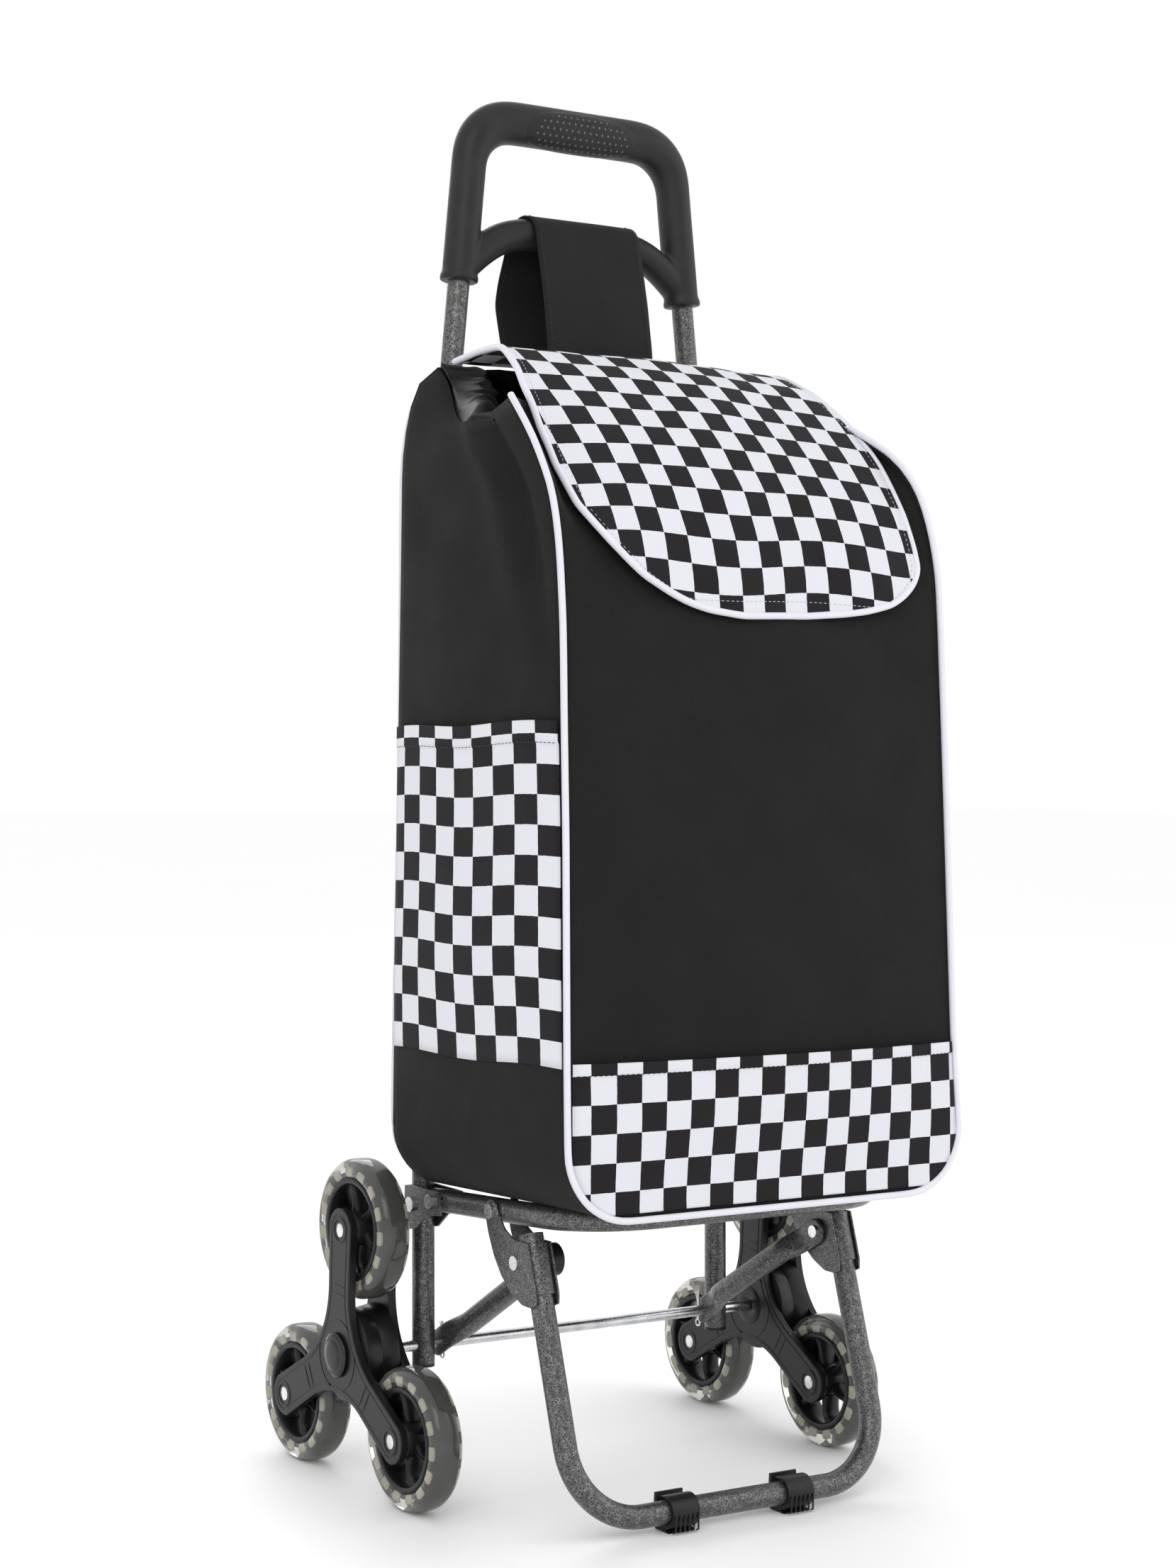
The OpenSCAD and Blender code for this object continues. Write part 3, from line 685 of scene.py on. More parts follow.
@dataclass(frozen=True)
class Cloth:
    """Woven cloth of one colour."""

    name: str
    tint: tuple = (0.0052, 0.0048, 0.0050, 1)
    lit: tuple = (0.0230, 0.0215, 0.0225, 1)
    pitch: float = 0.9
    slope: float = 1.0
    relief: float = 0.16
    rough: float = 0.78
    gloss: float = 0.02

    def made(self) -> bpy.types.Material:
        """Builds the material.

        Returns:
            The material.
        """
        g = Graph(self.name)
        _, u, v = g.cloth()
        place = g.place()
        threads = g.weave(u, v, self.pitch, self.slope)
        fuzz = g.noise(place, 900.0)
        light = g.math("MULTIPLY", g.spread(threads, 0.2, 0.95, 0, 1), g.spread(fuzz, 0.2, 0.8, 0.45, 1.2))
        g.feed(g.shader, "Base Color", g.mix(light, self.tint, self.lit))
        g.feed(g.shader, "Roughness", g.spread(g.noise(place, 25.0), 0.3, 0.7, self.rough - 0.06,
                                               self.rough + 0.06))
        g.shader.inputs["Specular IOR Level"].default_value = 0.15
        g.shader.inputs["Sheen Weight"].default_value = self.gloss
        g.shader.inputs["Sheen Roughness"].default_value = 0.45
        g.bump(threads, self.relief, 0.75)
        g.bump(g.noise(place, 55.0), 0.5, 0.35)
        return g.material


@dataclass(frozen=True)
class CheckedCloth:
    """Black and white check printed on plain-woven cloth."""

    name: str
    cell: float = 18.7
    start_u: float = 0.0
    start_v: float = 0.0
    white: tuple = (0.72, 0.73, 0.77, 1)
    black: tuple = (0.008, 0.007, 0.0085, 1)

    def made(self) -> bpy.types.Material:
        """Builds the material.

        Returns:
            The material.
        """
        g = Graph(self.name)
        _, u, v = g.cloth()
        place = g.place()
        wobble = g.math("MULTIPLY", g.math("SUBTRACT", g.noise(place, 260.0), 0.5), 0.5)
        col = g.math("FLOOR", g.math("DIVIDE", g.math("ADD", g.math("SUBTRACT", u, self.start_u), wobble),
                                     self.cell))
        row = g.math("FLOOR", g.math("DIVIDE", g.math("ADD", g.math("SUBTRACT", v, self.start_v), wobble),
                                     self.cell))
        odd = g.math("FLOORED_MODULO", g.math("ADD", col, row), 2.0)
        threads = g.weave(u, v, 0.62, 0.15)
        # Painted light and shade of the weave: thread crests are coloured lighter and the hollows between
        # threads darker, in the white and the black cells alike.
        weave_light = g.spread(threads, 0.1, 1.0, 0.0, 1.0)
        bright = g.mix(weave_light, tuple(c * 0.88 for c in self.white[:3]) + (1,), self.white)
        dim = g.mix(weave_light, self.black, tuple(c * 2.1 for c in self.black[:3]) + (1,))
        g.feed(g.shader, "Base Color", g.mix(g.spread(odd, 0.4, 0.6, 0, 1), bright, dim))
        g.feed(g.shader, "Roughness", g.spread(g.noise(place, 30.0), 0.3, 0.7, 0.68, 0.8))
        g.shader.inputs["Specular IOR Level"].default_value = 0.15
        g.shader.inputs["Sheen Weight"].default_value = 0.02
        g.bump(threads, 0.08, 0.6)
        return g.material


@dataclass(frozen=True)
class ClearTyre:
    """Smoky see-through polyurethane."""

    name: str = "clear_tyre"

    def made(self) -> bpy.types.Material:
        """Builds the material.

        Returns:
            The material.
        """
        g = Graph(self.name)
        place = g.place()
        cloud = g.noise(place, 90.0)
        g.feed(g.shader, "Base Color", g.mix(g.spread(cloud, 0.3, 0.7, 0, 1), (0.74, 0.73, 0.70, 1),
                                             (0.62, 0.615, 0.59, 1)))
        g.feed(g.shader, "Roughness", g.spread(g.noise(place, 400.0), 0.3, 0.7, 0.03, 0.1))
        g.shader.inputs["Transmission Weight"].default_value = 0.93
        g.shader.inputs["IOR"].default_value = 1.46
        g.bump(cloud, 0.15, 0.3)
        return g.material


@dataclass(frozen=True)
class StudioFloor:
    """Pale seamless floor with a faint mottle."""

    name: str = "studio_floor"

    def made(self) -> bpy.types.Material:
        """Builds the material.

        Returns:
            The material.
        """
        g = Graph(self.name)
        cloud = g.noise(g.place(), 1.5)
        g.feed(g.shader, "Base Color", g.mix(g.spread(cloud, 0.3, 0.7, 0, 1), (0.985, 0.985, 0.985, 1),
                                             (0.975, 0.975, 0.978, 1)))
        g.shader.inputs["Roughness"].default_value = 0.6
        return g.material


class Palette:
    """Every finish of the trolley, made once."""

    def __init__(self) -> None:
        """Makes all materials."""
        self.paint = Hammertone().made()
        self.zinc = Metal("bright_zinc", (0.82, 0.83, 0.85, 1), 0.25).made()
        self.steel = Metal("bearing_steel", (0.5, 0.5, 0.52, 1), 0.3).made()
        self.chrome = Metal("polished_cap", (0.05, 0.05, 0.052, 1), 0.14, 500.0).made()
        self.handle = Moulded("handle_plastic", (0.009, 0.009, 0.0095, 1), 0.46, 2400.0, 0.035).made()
        self.grip = DimpledRubber().made()
        self.plastic = Moulded("satin_black", (0.006, 0.006, 0.0065, 1), 0.34, 1800.0, 0.02).made()
        self.star = Moulded("star_black", (0.006, 0.006, 0.0065, 1), 0.32, 1500.0, 0.015).made()
        self.window = Moulded("pale_window", (0.62, 0.60, 0.48, 1), 0.35, 900.0, 0.05).made()
        self.tyre = ClearTyre().made()
        self.twill = Cloth("black_twill").made()
        self.lining = Cloth("gathered_lining", (0.006, 0.006, 0.007, 1), (0.02, 0.02, 0.022, 1), 0.4, 0.0,
                            0.04, 0.36, 0.05).made()
        self.webbing = Cloth("black_webbing", (0.009, 0.009, 0.0095, 1), (0.028, 0.028, 0.03, 1), 1.1, 0.5,
                             0.14, 0.8, 0.04).made()
        self.piping = Cloth("white_piping", (0.68, 0.68, 0.74, 1), (0.80, 0.80, 0.86, 1), 0.8, 0.6, 0.1,
                            0.7, 0.1).made()
        self.thread = Cloth("pale_thread", (0.5, 0.5, 0.53, 1), (0.7, 0.7, 0.74, 1), 0.5, 1.0, 0.05, 0.7,
                            0.1).made()
        self.dark_thread = Cloth("black_thread", (0.015, 0.015, 0.016, 1), (0.05, 0.05, 0.053, 1), 0.5,
                                 1.0, 0.05, 0.6, 0.2).made()
        self.board = Moulded("base_board", (0.03, 0.03, 0.03, 1), 0.6).made()
        self.flap_check = CheckedCloth("flap_check", start_u=-2.0, start_v=6.0).made()
        self.front_check = CheckedCloth("front_pocket_check", start_u=-146.0, start_v=7.5).made()
        self.side_check = CheckedCloth("side_pocket_check", start_u=0.0, start_v=8.0).made()

    def dress(self, node: str, finish: bpy.types.Material) -> None:
        """Gives a CAD node its finish.

        Args:
            node: the node's name.
            finish: the material.
        """
        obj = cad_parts[node]
        if not obj.material_slots:
            obj.data.materials.append(finish)
        for place in obj.material_slots:
            place.material = finish


# ---------------------------------------------------------------- frame and handle


@dataclass
class FrameTubes:
    """The painted steel, the zinc fittings and the two flattened struts."""

    palette: Palette
    tongue: float = 115.85
    tube: float = 8.0
    lower_pivot: tuple = (-132.0, 174.0)
    leg_slant: float = 19.5
    leg_foot: tuple = (-199.0, 13.0)
    leg_x: float = 127.5

    def build(self) -> None:
        """Dresses the CAD tubes and fittings and makes the struts and feet."""
        painted = ["upright_left", "upright_right", "shelf_frame", "leg_frame"]
        painted += [f"{part}_{side.word}" for part in ("hinge_bracket",) for side in Side]
        for node in painted:
            self.palette.dress(node, self.palette.paint)
        for node in ("axle", "bracket_bolts", "cotter_pins", "handle_screws", "leg_rivets", "strut_rivets"):
            self.palette.dress(node, self.palette.zinc)
        for node in ("upright_end_plugs", "pivot_cap"):
            self.palette.dress(node, self.palette.plastic)
        for side in Side:
            self.strut(side)
            self.leg_plate(side)
            self.foot(side)

    def strut(self, side: Side) -> None:
        """Makes one strut: a tube pressed flat at both ends.

        Args:
            side: which strut.
        """
        start = np.array([0.0, AXLE_Z])
        run = np.array(self.lower_pivot) - start
        length = float(np.linalg.norm(run))
        run /= length
        cross = np.array([-run[1], run[0]])
        form = Form(f"strut_tube_{side.word}")
        rings = []
        stations = np.concatenate([np.linspace(-9, 8, 12), np.linspace(12, 46, 10)])
        stations = np.concatenate([stations, length - stations[::-1][3:]])
        turn = np.linspace(0, 2 * math.pi, 28, endpoint=False)
        for s in stations:
            inner = min(s + 9, length + 9 - s)
            flat = min(1.0, max(0.0, (min(s, length - s) - 13) / 26))
            flat = flat * flat * (3 - 2 * flat)
            thick = 1.6 + (self.tube - 1.6) * flat
            wide = 9.0 + (self.tube - 9.0) * flat
            if inner < 9:
                wide = max(0.4, 9.0 * math.sqrt(max(0.0, 1 - ((9 - inner) / 9) ** 2)))
            middle = self.tongue - (self.tube - 1.5) * flat
            power = 0.55 + 0.45 * flat
            x = middle + thick * np.sign(np.cos(turn)) * np.abs(np.cos(turn)) ** power
            c = wide * np.sign(np.sin(turn)) * np.abs(np.sin(turn)) ** power
            yz = start[None, :] + run[None, :] * s + cross[None, :] * c[:, None]
            rings.append(np.column_stack([x * side.value, yz]))
        form.grid(np.array(rings), wrap=True)
        form.cap(rings[0], True)
        form.cap(rings[-1], False)
        obj = form.made("struts", "hammertone", self.palette.paint)
        welded(obj)
        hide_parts(f"strut_{side.word}")

    def on_leg(self, x: float, behind: float, along: float) -> list:
        """Point given behind and along the leg tube, as x, y, z in millimetres.

        Args:
            x: distance across in millimetres.
            behind: distance behind the tube axis.
            along: distance up the tube from the foot.

        Returns:
            Coordinates in millimetres.
        """
        a = math.radians(self.leg_slant)
        y = self.leg_foot[0] + behind * math.cos(a) + along * math.sin(a)
        return [x, y, self.leg_foot[1] - behind * math.sin(a) + along * math.cos(a)]

    def leg_plate(self, side: Side) -> None:
        """Makes the folded bracket: two cheeks and a half ring round the leg tube.

        Args:
            side: which leg.
        """
        ear = (30.06, 212.4)
        back = [[0, 142.5], [10, 146], [21, 156], [30, 169], [35.5, 184], [38.0, 200]] + arc(ear, 8.0, 0,
                                                                                             85, 8)
        front = [[-6, 143], [-8.2, 150], [-8.2, 184], [-2, 186], [8, 189.5], [17, 198]] + arc(ear, 8.0,
                                                                                              190, 95, 8)
        form = Form(f"leg_bracket_{side.word}")
        for low, high in ((117.8, 119.3), (135.7, 137.2)):
            rings = []
            for b, f in zip(resampled(back, 34), resampled(front, 34)):
                rings.append([self.on_leg(side.value * x, *p) for x,
                              p in ((low, b), (low, f), (high, f), (high, b))])
            form.grid(np.array(rings), wrap=True)
            form.cap(np.array(rings[0]), True)
            form.cap(np.array(rings[-1]), False)
        rings = []
        for q in np.radians(np.linspace(180, 360, 22)):
            corners = ((8.15, 150), (8.15, 184), (9.7, 184), (9.7, 150))
            rings.append([self.on_leg(side.value * (self.leg_x + r * math.cos(q)), r * math.sin(q), h)
                          for r, h in corners])
        form.grid(np.array(rings), wrap=True)
        form.cap(np.array(rings[0]), True)
        form.cap(np.array(rings[-1]), False)
        obj = form.made("leg", "hammertone", self.palette.paint, smooth=False)
        welded(obj)
        bevelled(obj, 0.35)
        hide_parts(f"leg_plate_{side.word}")

    def foot(self, side: Side) -> None:
        """Makes one clip foot that grips the foot bar.

        Args:
            side: which foot.
        """
        x0, y0, z0 = 37.0 * side.value, -199.0, 13.0
        x1 = 59.0 * side.value
        form = Form(f"foot_grip_{side.word}")
        outer = arc((y0, z0), 11.2, 62, 262, 22) + [[y0 - 6, 0.0], [y0 + 9.5, 0.0], [y0 + 10.5, 1.0]]
        outer += [[y0 + 10.8, 8], [y0 + 12.2, 17], [y0 + 12.0, 24], [y0 + 9.6, 24.5]]
        inner = [[y0 + 8.6, 17]] + arc((y0, z0), 8.15, 15, -240, 26) + [[y0 - 2.0, z0 + 9.4]]
        outline = outer[::-1] + inner[::-1]
        ring = np.array(outline)
        ends = []
        for x in np.linspace(x0, x1, 2):
            ends.append(np.column_stack([np.full(len(ring), x), ring]))
        form.grid(np.array(ends), wrap=True)
        form.cap(ends[0], True)
        form.cap(ends[-1], False)
        for k in range(6):
            low, high = x0 + (k * 3.7 + 1.2) * side.value, x0 + (k * 3.7 + 2.6) * side.value
            rib = np.array([[y0 - 11.3, 3.0], [y0 - 11.3, z0], [y0 - 12.2, z0], [y0 - 12.2, 2.0],
                            [y0 - 8, 0.1]])
            ends = [np.column_stack([np.full(len(rib), x), rib]) for x in (low, high)]
            form.grid(np.array(ends), wrap=True)
            form.cap(ends[0], True)
            form.cap(ends[1], False)
        obj = form.made("leg", "black_plastic", self.palette.plastic, smooth=False)
        welded(obj)
        bevelled(obj, 0.5, 2, 40)
        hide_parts(f"foot_clip_{side.word}")


@dataclass
class Handle:
    """Moulded D-shaped handle with an arch bar and a dimpled grip."""

    palette: Palette
    lean: float = 2.77
    leg_x: float = 97.5
    start: float = 754.0
    leg_tilt: float = 5.73
    bar: float = 869.5
    corner: float = 34.0
    arch: float = 791.0

    def lifted(self, pts: np.ndarray) -> np.ndarray:
        """Turns points of the handle's own plane into the trolley's.

        Args:
            pts: x, depth and height along the leaning uprights.

        Returns:
            The points as x, y, z in millimetres.
        """
        a = math.radians(self.lean)
        pts = np.asarray(pts, float)
        y = pts[..., 1] * math.cos(a) + pts[..., 2] * math.sin(a)
        z = pts[..., 2] * math.cos(a) - pts[..., 1] * math.sin(a) + AXLE_Z
        return np.stack([pts[..., 0], y, z], axis=-1)

    def leg_at(self, height: float) -> float:
        """Half distance between the legs' middles at a height.

        Args:
            height: distance above the axle along the uprights.

        Returns:
            Distance in millimetres.
        """
        return self.leg_x - (height - self.start) * math.tan(math.radians(self.leg_tilt))

    def build(self) -> None:
        """Makes the handle body and the grip."""
        form = Form("handle_moulding")
        top = self.leg_at(self.bar - self.corner)
        bend = arc((top - self.corner, self.bar - self.corner), self.corner, self.leg_tilt, 90, 14)
        half = [[self.leg_at(h), h] for h in np.linspace(self.start, self.bar - self.corner - 6, 20)] + bend
        whole = half + [[-x, h] for x, h in half[::-1]]
        path = rounded([[x, 0, h] for x, h in whole], 110, 6)
        rise = np.clip((path[:, 2] - (self.bar - 36)) / 34, 0, 1)
        rise = rise * rise * (3 - 2 * rise)
        wide = 12.6 + 3.0 * rise
        form.sweep(self.lifted(path), wide, 12.6 + 0.6 * rise,
                   (0, math.cos(math.radians(self.lean)), -math.sin(math.radians(self.lean))), 32)
        steps = [[-self.leg_at(762) + 2, 762], [-84, 772], [-66, 785.5], [-48, self.arch], [48, self.arch],
                 [66, 785.5], [84, 772], [self.leg_at(762) - 2, 762]]
        arch = rounded([[x, 0, h] for x, h in steps], 70, 30)
        form.sweep(self.lifted(arch), 11.4, 11.0, (0, 1, 0), 28)
        for side in Side:
            lip = np.array([[side.value * self.leg_at(h), 0, h] for h in (750.8, 751.4, 755.5, 756.6)])
            form.sweep(self.lifted(lip), np.array([13.2, 13.9, 13.9, 12.9]),
                       np.array([13.2, 13.9, 13.9, 12.9]), (0, 1, 0), 32)
        obj = form.made("frame", "handle_plastic", self.palette.handle)
        blend = obj.modifiers.new("blend", "REMESH")
        blend.mode = "VOXEL"
        blend.voxel_size = 1.25 * MM
        ease = obj.modifiers.new("ease", "SMOOTH")
        ease.factor = 0.6
        ease.iterations = 9
        applied(obj)
        obj.data.polygons.foreach_set("use_smooth", [True] * len(obj.data.polygons))
        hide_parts("handle")
        self.grip()

    def grip(self) -> None:
        """Makes the oval dimpled grip under and before the top bar."""
        form = Form("grip_pad")
        rows, cols = 30, 60
        pts = np.zeros((rows, cols, 3))
        flat = np.zeros((rows, cols, 2))
        for i, a in enumerate(np.linspace(-1, 1, rows)):
            theta = math.radians(205 + 77 * a)
            for j, b in enumerate(np.linspace(-1, 1, cols)):
                edge = 1 - (abs(a) ** 2.2 + abs(b) ** 2.4)
                lift = -1.2 + 3.6 * math.sqrt(max(0.0, edge)) if edge > 0 else -2.0
                pts[i, j] = [
                    50.0 * b,
                    (13.2 + lift) * math.cos(theta),
                    self.bar + (15.6 + lift) * math.sin(theta),
                ]
                flat[i, j] = [50.0 * b, 14.4 * math.radians(77 * a) + 60]
        form.grid(self.lifted(pts), flat)
        inner = pts.copy()
        inner[:, :, 1] *= 0.55
        inner[:, :, 2] = self.bar + (inner[:, :, 2] - self.bar) * 0.55
        form.grid(self.lifted(inner)[:, ::-1], flat[:, ::-1])
        obj = form.made("frame", "grip_rubber", self.palette.grip)
        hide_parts("grip_insert")


# ---------------------------------------------------------------- wheel stars


@dataclass
class WheelStar:
    """One star: two moulded halves, a cap, and three spoked wheels with clear tyres."""

    palette: Palette
    side: Side
    arm: float = 14.0
    tip: float = 15.0
    web: float = 65.7
    half: float = 19.0
    cheek: float = 6.0
    wheel: float = 48.5
    width: float = 24.0
    rim: float = 35.0

    def outline(self, shrink: float = 0.0) -> np.ndarray:
        """Outline of a star half in depth and height from the hub, drawn inwards by shrink.

        Args:
            shrink: distance from the true edge in millimetres.

        Returns:
            Closed loop of points.
        """
        reach = (self.web + self.arm) / math.sin(math.radians(60))
        pts: list = []
        for a in (90.0, 210.0, 330.0):
            tip = (STAR_R * math.cos(math.radians(a)), STAR_R * math.sin(math.radians(a)))
            pts += arc(tip, self.tip - shrink, a - 78, a + 78, 22)
            m = a + 60
            centre = (reach * math.cos(math.radians(m)), reach * math.sin(math.radians(m)))
            pts += arc(centre, self.web + shrink, m + 180 + 29, m + 180 - 29, 16)
        return np.array(pts)

    def half_shell(self, outer: bool) -> None:
        """Makes one half of the star with its engraved lines.

        Args:
            outer: whether it is the half away from the trolley.
        """
        word = "outer" if outer else "inner"
        sign = self.side.value if outer else -self.side.value
        name = f"star_shell_{self.side.word}_{word}"
        mesh = bmesh.new()
        loop = self.outline()
        face_x = self.half * sign
        back_x = (self.half - self.cheek) * sign
        rings = []
        for x in (back_x, face_x):
            rings.append([mesh.verts.new((x, y, z)) for y, z in loop])
        n = len(loop)
        for i in range(n):
            k = (i + 1) % n
            mesh.faces.new((rings[0][i], rings[0][k], rings[1][k], rings[1][i]))
        front = mesh.faces.new(rings[1])
        mesh.faces.new(rings[0][::-1])
        bmesh.ops.recalc_face_normals(mesh, faces=mesh.faces)
        for thick, deep in ((0.9, 0.0), (2.6, 0.0), (0.9, -0.7), (0.9, 0.7)):
            bmesh.ops.inset_region(mesh, faces=[front], thickness=thick, depth=deep, use_even_offset=True)
        data = bpy.data.meshes.new(name)
        mesh.to_mesh(data)
        mesh.free()
        centre = placed(np.array([STAR_X * self.side.value, 0, AXLE_Z]))
        data.transform(Matrix.Translation(Vector(centre)) @ Matrix.Scale(MM, 4))
        data.materials.append(self.palette.star)
        obj = bpy.data.objects.new(name, data)
        bpy.context.scene.collection.objects.link(obj)
        bevelled(obj, 0.8, 3, 50)
        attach(obj, f"star_{self.side.word}")
        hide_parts(f"star_{self.side.word}_{word}")
        LOG.info("piece %s rides on star_%s", name, self.side.word)
        self.details(outer, sign)

    def details(self, outer: bool, sign: int) -> None:
        """Makes the hub boss, rivet cups, cross ribs and arc lines of one half.

        Args:
            outer: whether it is the outer half.
            sign: direction of the half's face along X.
        """
        word = "outer" if outer else "inner"
        form = Form(f"star_trim_{self.side.word}_{word}")
        hub = (STAR_X * self.side.value, 0.0, AXLE_Z)
        face = self.half * sign
        form.lathe([[face - 7 * sign, 4.6], [face + 0.2 * sign, 4.6], [face + 0.9 * sign, 6.0],
                    [face + 0.9 * sign, 13.4],
                    [face + 0.4 * sign, 14.2], [face - 0.5 * sign, 14.2]], hub, 48)
        form.lathe([[0.05 * sign, 11.2], [0.05 * sign, 31.0], [face - 6.5 * sign, 33.0],
                    [face - 6.0 * sign, 11.2]], hub, 64)
        for angle in ARMS.values():
            c, s = math.cos(math.radians(angle)), math.sin(math.radians(angle))
            spot = (hub[0], STAR_R * c, AXLE_Z + STAR_R * s)
            form.lathe([[face - 0.6 * sign, 9.4], [face + 0.5 * sign, 9.0], [face + 0.5 * sign, 7.2],
                        [face - 2.6 * sign, 6.9]], spot, 36)
            for reach in (42.0, 48.0):
                across = np.linspace(-8.5, 8.5, 12)
                line = np.array([[hub[0] + face, reach * c - t * s, AXLE_Z + reach * s + t * c]
                                 for t in across])
                taper = 0.55 * np.sqrt(np.clip(1 - (across / 9.2) ** 2, 0.05, 1))
                form.sweep(line, taper + 0.25, taper, (1, 0, 0), 10)
            turn = arc((0, 0), 24.5, angle - 38, angle + 38, 20)
            line = np.array([[hub[0] + face, y, AXLE_Z + z] for y, z in turn])
            form.sweep(line, 0.6, 0.45, (1, 0, 0), 10)
        obj = form.made(f"star_{self.side.word}", "star_plastic", self.palette.star)
        bevelled(obj, 0.25, 2, 40)

    def build(self) -> None:
        """Makes the star, its cap and its wheels, and dresses its CAD fittings."""
        for outer in (True, False):
            self.half_shell(outer)
        word = self.side.word
        self.palette.dress(f"star_{word}_bearings", self.palette.steel)
        self.palette.dress(f"wheel_axles_{word}", self.palette.zinc)
        self.cap()
        self.axle_heads()
        for arm, angle in ARMS.items():
            self.wheel_at(arm, angle)

    def axle_heads(self) -> None:
        """Makes the low domed heads of the wheel axles at the arm tips."""
        form = Form(f"axle_heads_{self.side.word}")
        for angle in ARMS.values():
            c, s = math.cos(math.radians(angle)), math.sin(math.radians(angle))
            for sign in (-1, 1):
                face = (self.half - 1.6) * sign
                spot = (STAR_X * self.side.value, STAR_R * c, AXLE_Z + STAR_R * s)
                form.lathe([[face - 2 * sign, 5.9], [face + 1.0 * sign, 5.8], [face + 1.7 * sign, 4.6],
                            [face + 2.0 * sign, 2.4], [face + 2.05 * sign, 0.05]], spot, 32)
        obj = form.made(f"star_{self.side.word}", "zinc", self.palette.zinc)
        welded(obj)

    def cap(self) -> None:
        """Makes the domed cap over the end of the axle."""
        s = self.side.value
        f = self.half * s
        form = Form(f"hub_dome_{self.side.word}")
        profile = [[f + 0.9 * s, 9.5], [f + 0.9 * s, 15.2], [f + 1.6 * s, 15.6], [f + 2.4 * s, 15.2],
                   [f + 3.2 * s, 13.0],
                   [f + 3.5 * s, 12.2], [f + 3.3 * s, 11.6], [f + 4.0 * s, 10.6], [f + 4.5 * s, 7.0], [f
                           + 4.7 * s, 3.0], [f + 4.75 * s, 0.05]]
        form.lathe(profile, (STAR_X * s, 0, AXLE_Z), 64)
        obj = form.made(f"star_{self.side.word}", "cap_chrome", self.palette.chrome)
        welded(obj)
        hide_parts(f"star_{self.side.word}_cap")

    def wheel_at(self, arm: str, angle: float) -> None:
        """Makes one wheel: spoked hub, ring of pale windows and clear tyre.

        Args:
            arm: name of the arm it turns on.
            angle: the arm's angle in degrees.
        """
        c, s = math.cos(math.radians(angle)), math.sin(math.radians(angle))
        centre = (STAR_X * self.side.value, STAR_R * c, AXLE_Z + STAR_R * s)
        body = f"wheel_{self.side.word}_{arm}"
        tag = f"{self.side.word}_{arm}"
        self.hub(centre, body, tag)
        self.windows(centre, body, tag)
        h = self.width / 2
        r = self.wheel
        outer = arc((-h + 8.5, r - 8.5), 8.5, 175, 100, 8) + [[-1.5, r - 0.1], [0, r], [1.5, r - 0.1]]
        outer += arc((h - 8.5, r - 8.5), 8.5, 80, 5, 8)
        sides = [[h - 0.8, self.rim + 2.5], [h - 2.0, self.rim + 0.3]]
        closed = [[-h + 2.0, self.rim + 0.3], [-h + 0.8, self.rim + 2.5]] + outer + sides
        form = Form(f"clear_tyre_{tag}")
        form.lathe(closed + [closed[0]], centre, 96)
        obj = form.made(body, "tyre_clear", self.palette.tyre)
        welded(obj)
        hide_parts(f"tyre_{tag}")

    def hub(self, centre: Sequence[float], body: str, tag: str) -> None:
        """Makes the spoked hub.

        Args:
            centre: middle of the wheel.
            body: CAD body it rides on.
            tag: side and arm for its name.
        """
        form = Form(f"spoked_hub_{tag}")
        r = self.rim
        rim = [[-10.4, r + 0.2], [-10.8, r - 0.8], [-10.6, r - 3.2], [-9.6, r - 3.8], [-4, r - 4.6],
               [4, r - 4.6], [9.6, r - 3.8],
               [10.6, r - 3.2], [10.8, r - 0.8], [10.4, r + 0.2]]
        form.lathe(rim + [rim[0]], centre, 80)
        flange = [[-8.3, r - 1.0], [-8.3, r + 4.6], [8.3, r + 4.6], [8.3, r - 1.0]]
        form.lathe(flange + [flange[0]], centre, 80)
        boss = [[-12.5, 4.1], [-12.6, 5.0], [-12.6, 9.8], [-12.0, 11.2], [-10.5, 12.2], [10.5, 12.2],
                [12.0, 11.2], [12.6, 9.8],
                [12.6, 5.0], [12.5, 4.1]]
        form.lathe(boss + [boss[0]], centre, 56)
        for k in range(6):
            a = math.radians(60 * k + 15)
            reach = np.linspace(11, r - 3.6, 8)
            bow = 0.10 * np.sin((reach - 11) / (r - 14.6) * math.pi)
            path = np.stack([np.full(8, centre[0]), centre[1] + reach * np.cos(a + bow), centre[2]
                             + reach * np.sin(a + bow)], axis=1)
            width = np.interp(reach, [11, 18, 26, r - 3.6], [4.2, 2.9, 2.7, 4.4])
            form.sweep(path, width, 7.6, (1, 0, 0), 16)
        obj = form.made(body, "hub_plastic", self.palette.plastic)
        welded(obj)
        bevelled(obj, 0.4, 2, 45)
        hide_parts(f"hub_{tag}")

    def windows(self, centre: Sequence[float], body: str, tag: str) -> None:
        """Makes the pale blocks that show through the tyre round the rim.

        Args:
            centre: middle of the wheel.
            body: CAD body it rides on.
            tag: side and arm for its name.
        """
        form = Form(f"rim_windows_{tag}")
        count = 15
        middle = self.rim + 4.1
        for k in range(count):
            mid = 2 * math.pi * (k + 0.5) / count
            half = math.pi / count * 0.56
            for face in (-1, 1):
                rings = []
                for x, scale in ((8.2, 1.0), (9.3, 1.0), (9.7, 0.86), (9.7, 0.4)):
                    loop = []
                    for q in np.linspace(0, 2 * math.pi, 20, endpoint=False)[::face]:
                        aa = mid + half * scale * np.sign(math.cos(q)) * abs(math.cos(q)) ** 0.45
                        rr = middle + 2.9 * scale * np.sign(math.sin(q)) * abs(math.sin(q)) ** 0.45
                        loop.append([centre[0] + x * face, centre[1] + rr * math.cos(aa), centre[2]
                                     + rr * math.sin(aa)])
                    rings.append(loop)
                form.grid(np.array(rings), wrap=True)
                form.cap(np.array(rings[0]), True)
                form.cap(np.array(rings[-1]), False)
        obj = form.made(body, "hub_plastic", self.palette.window)
        welded(obj)


# ---------------------------------------------------------------- bag


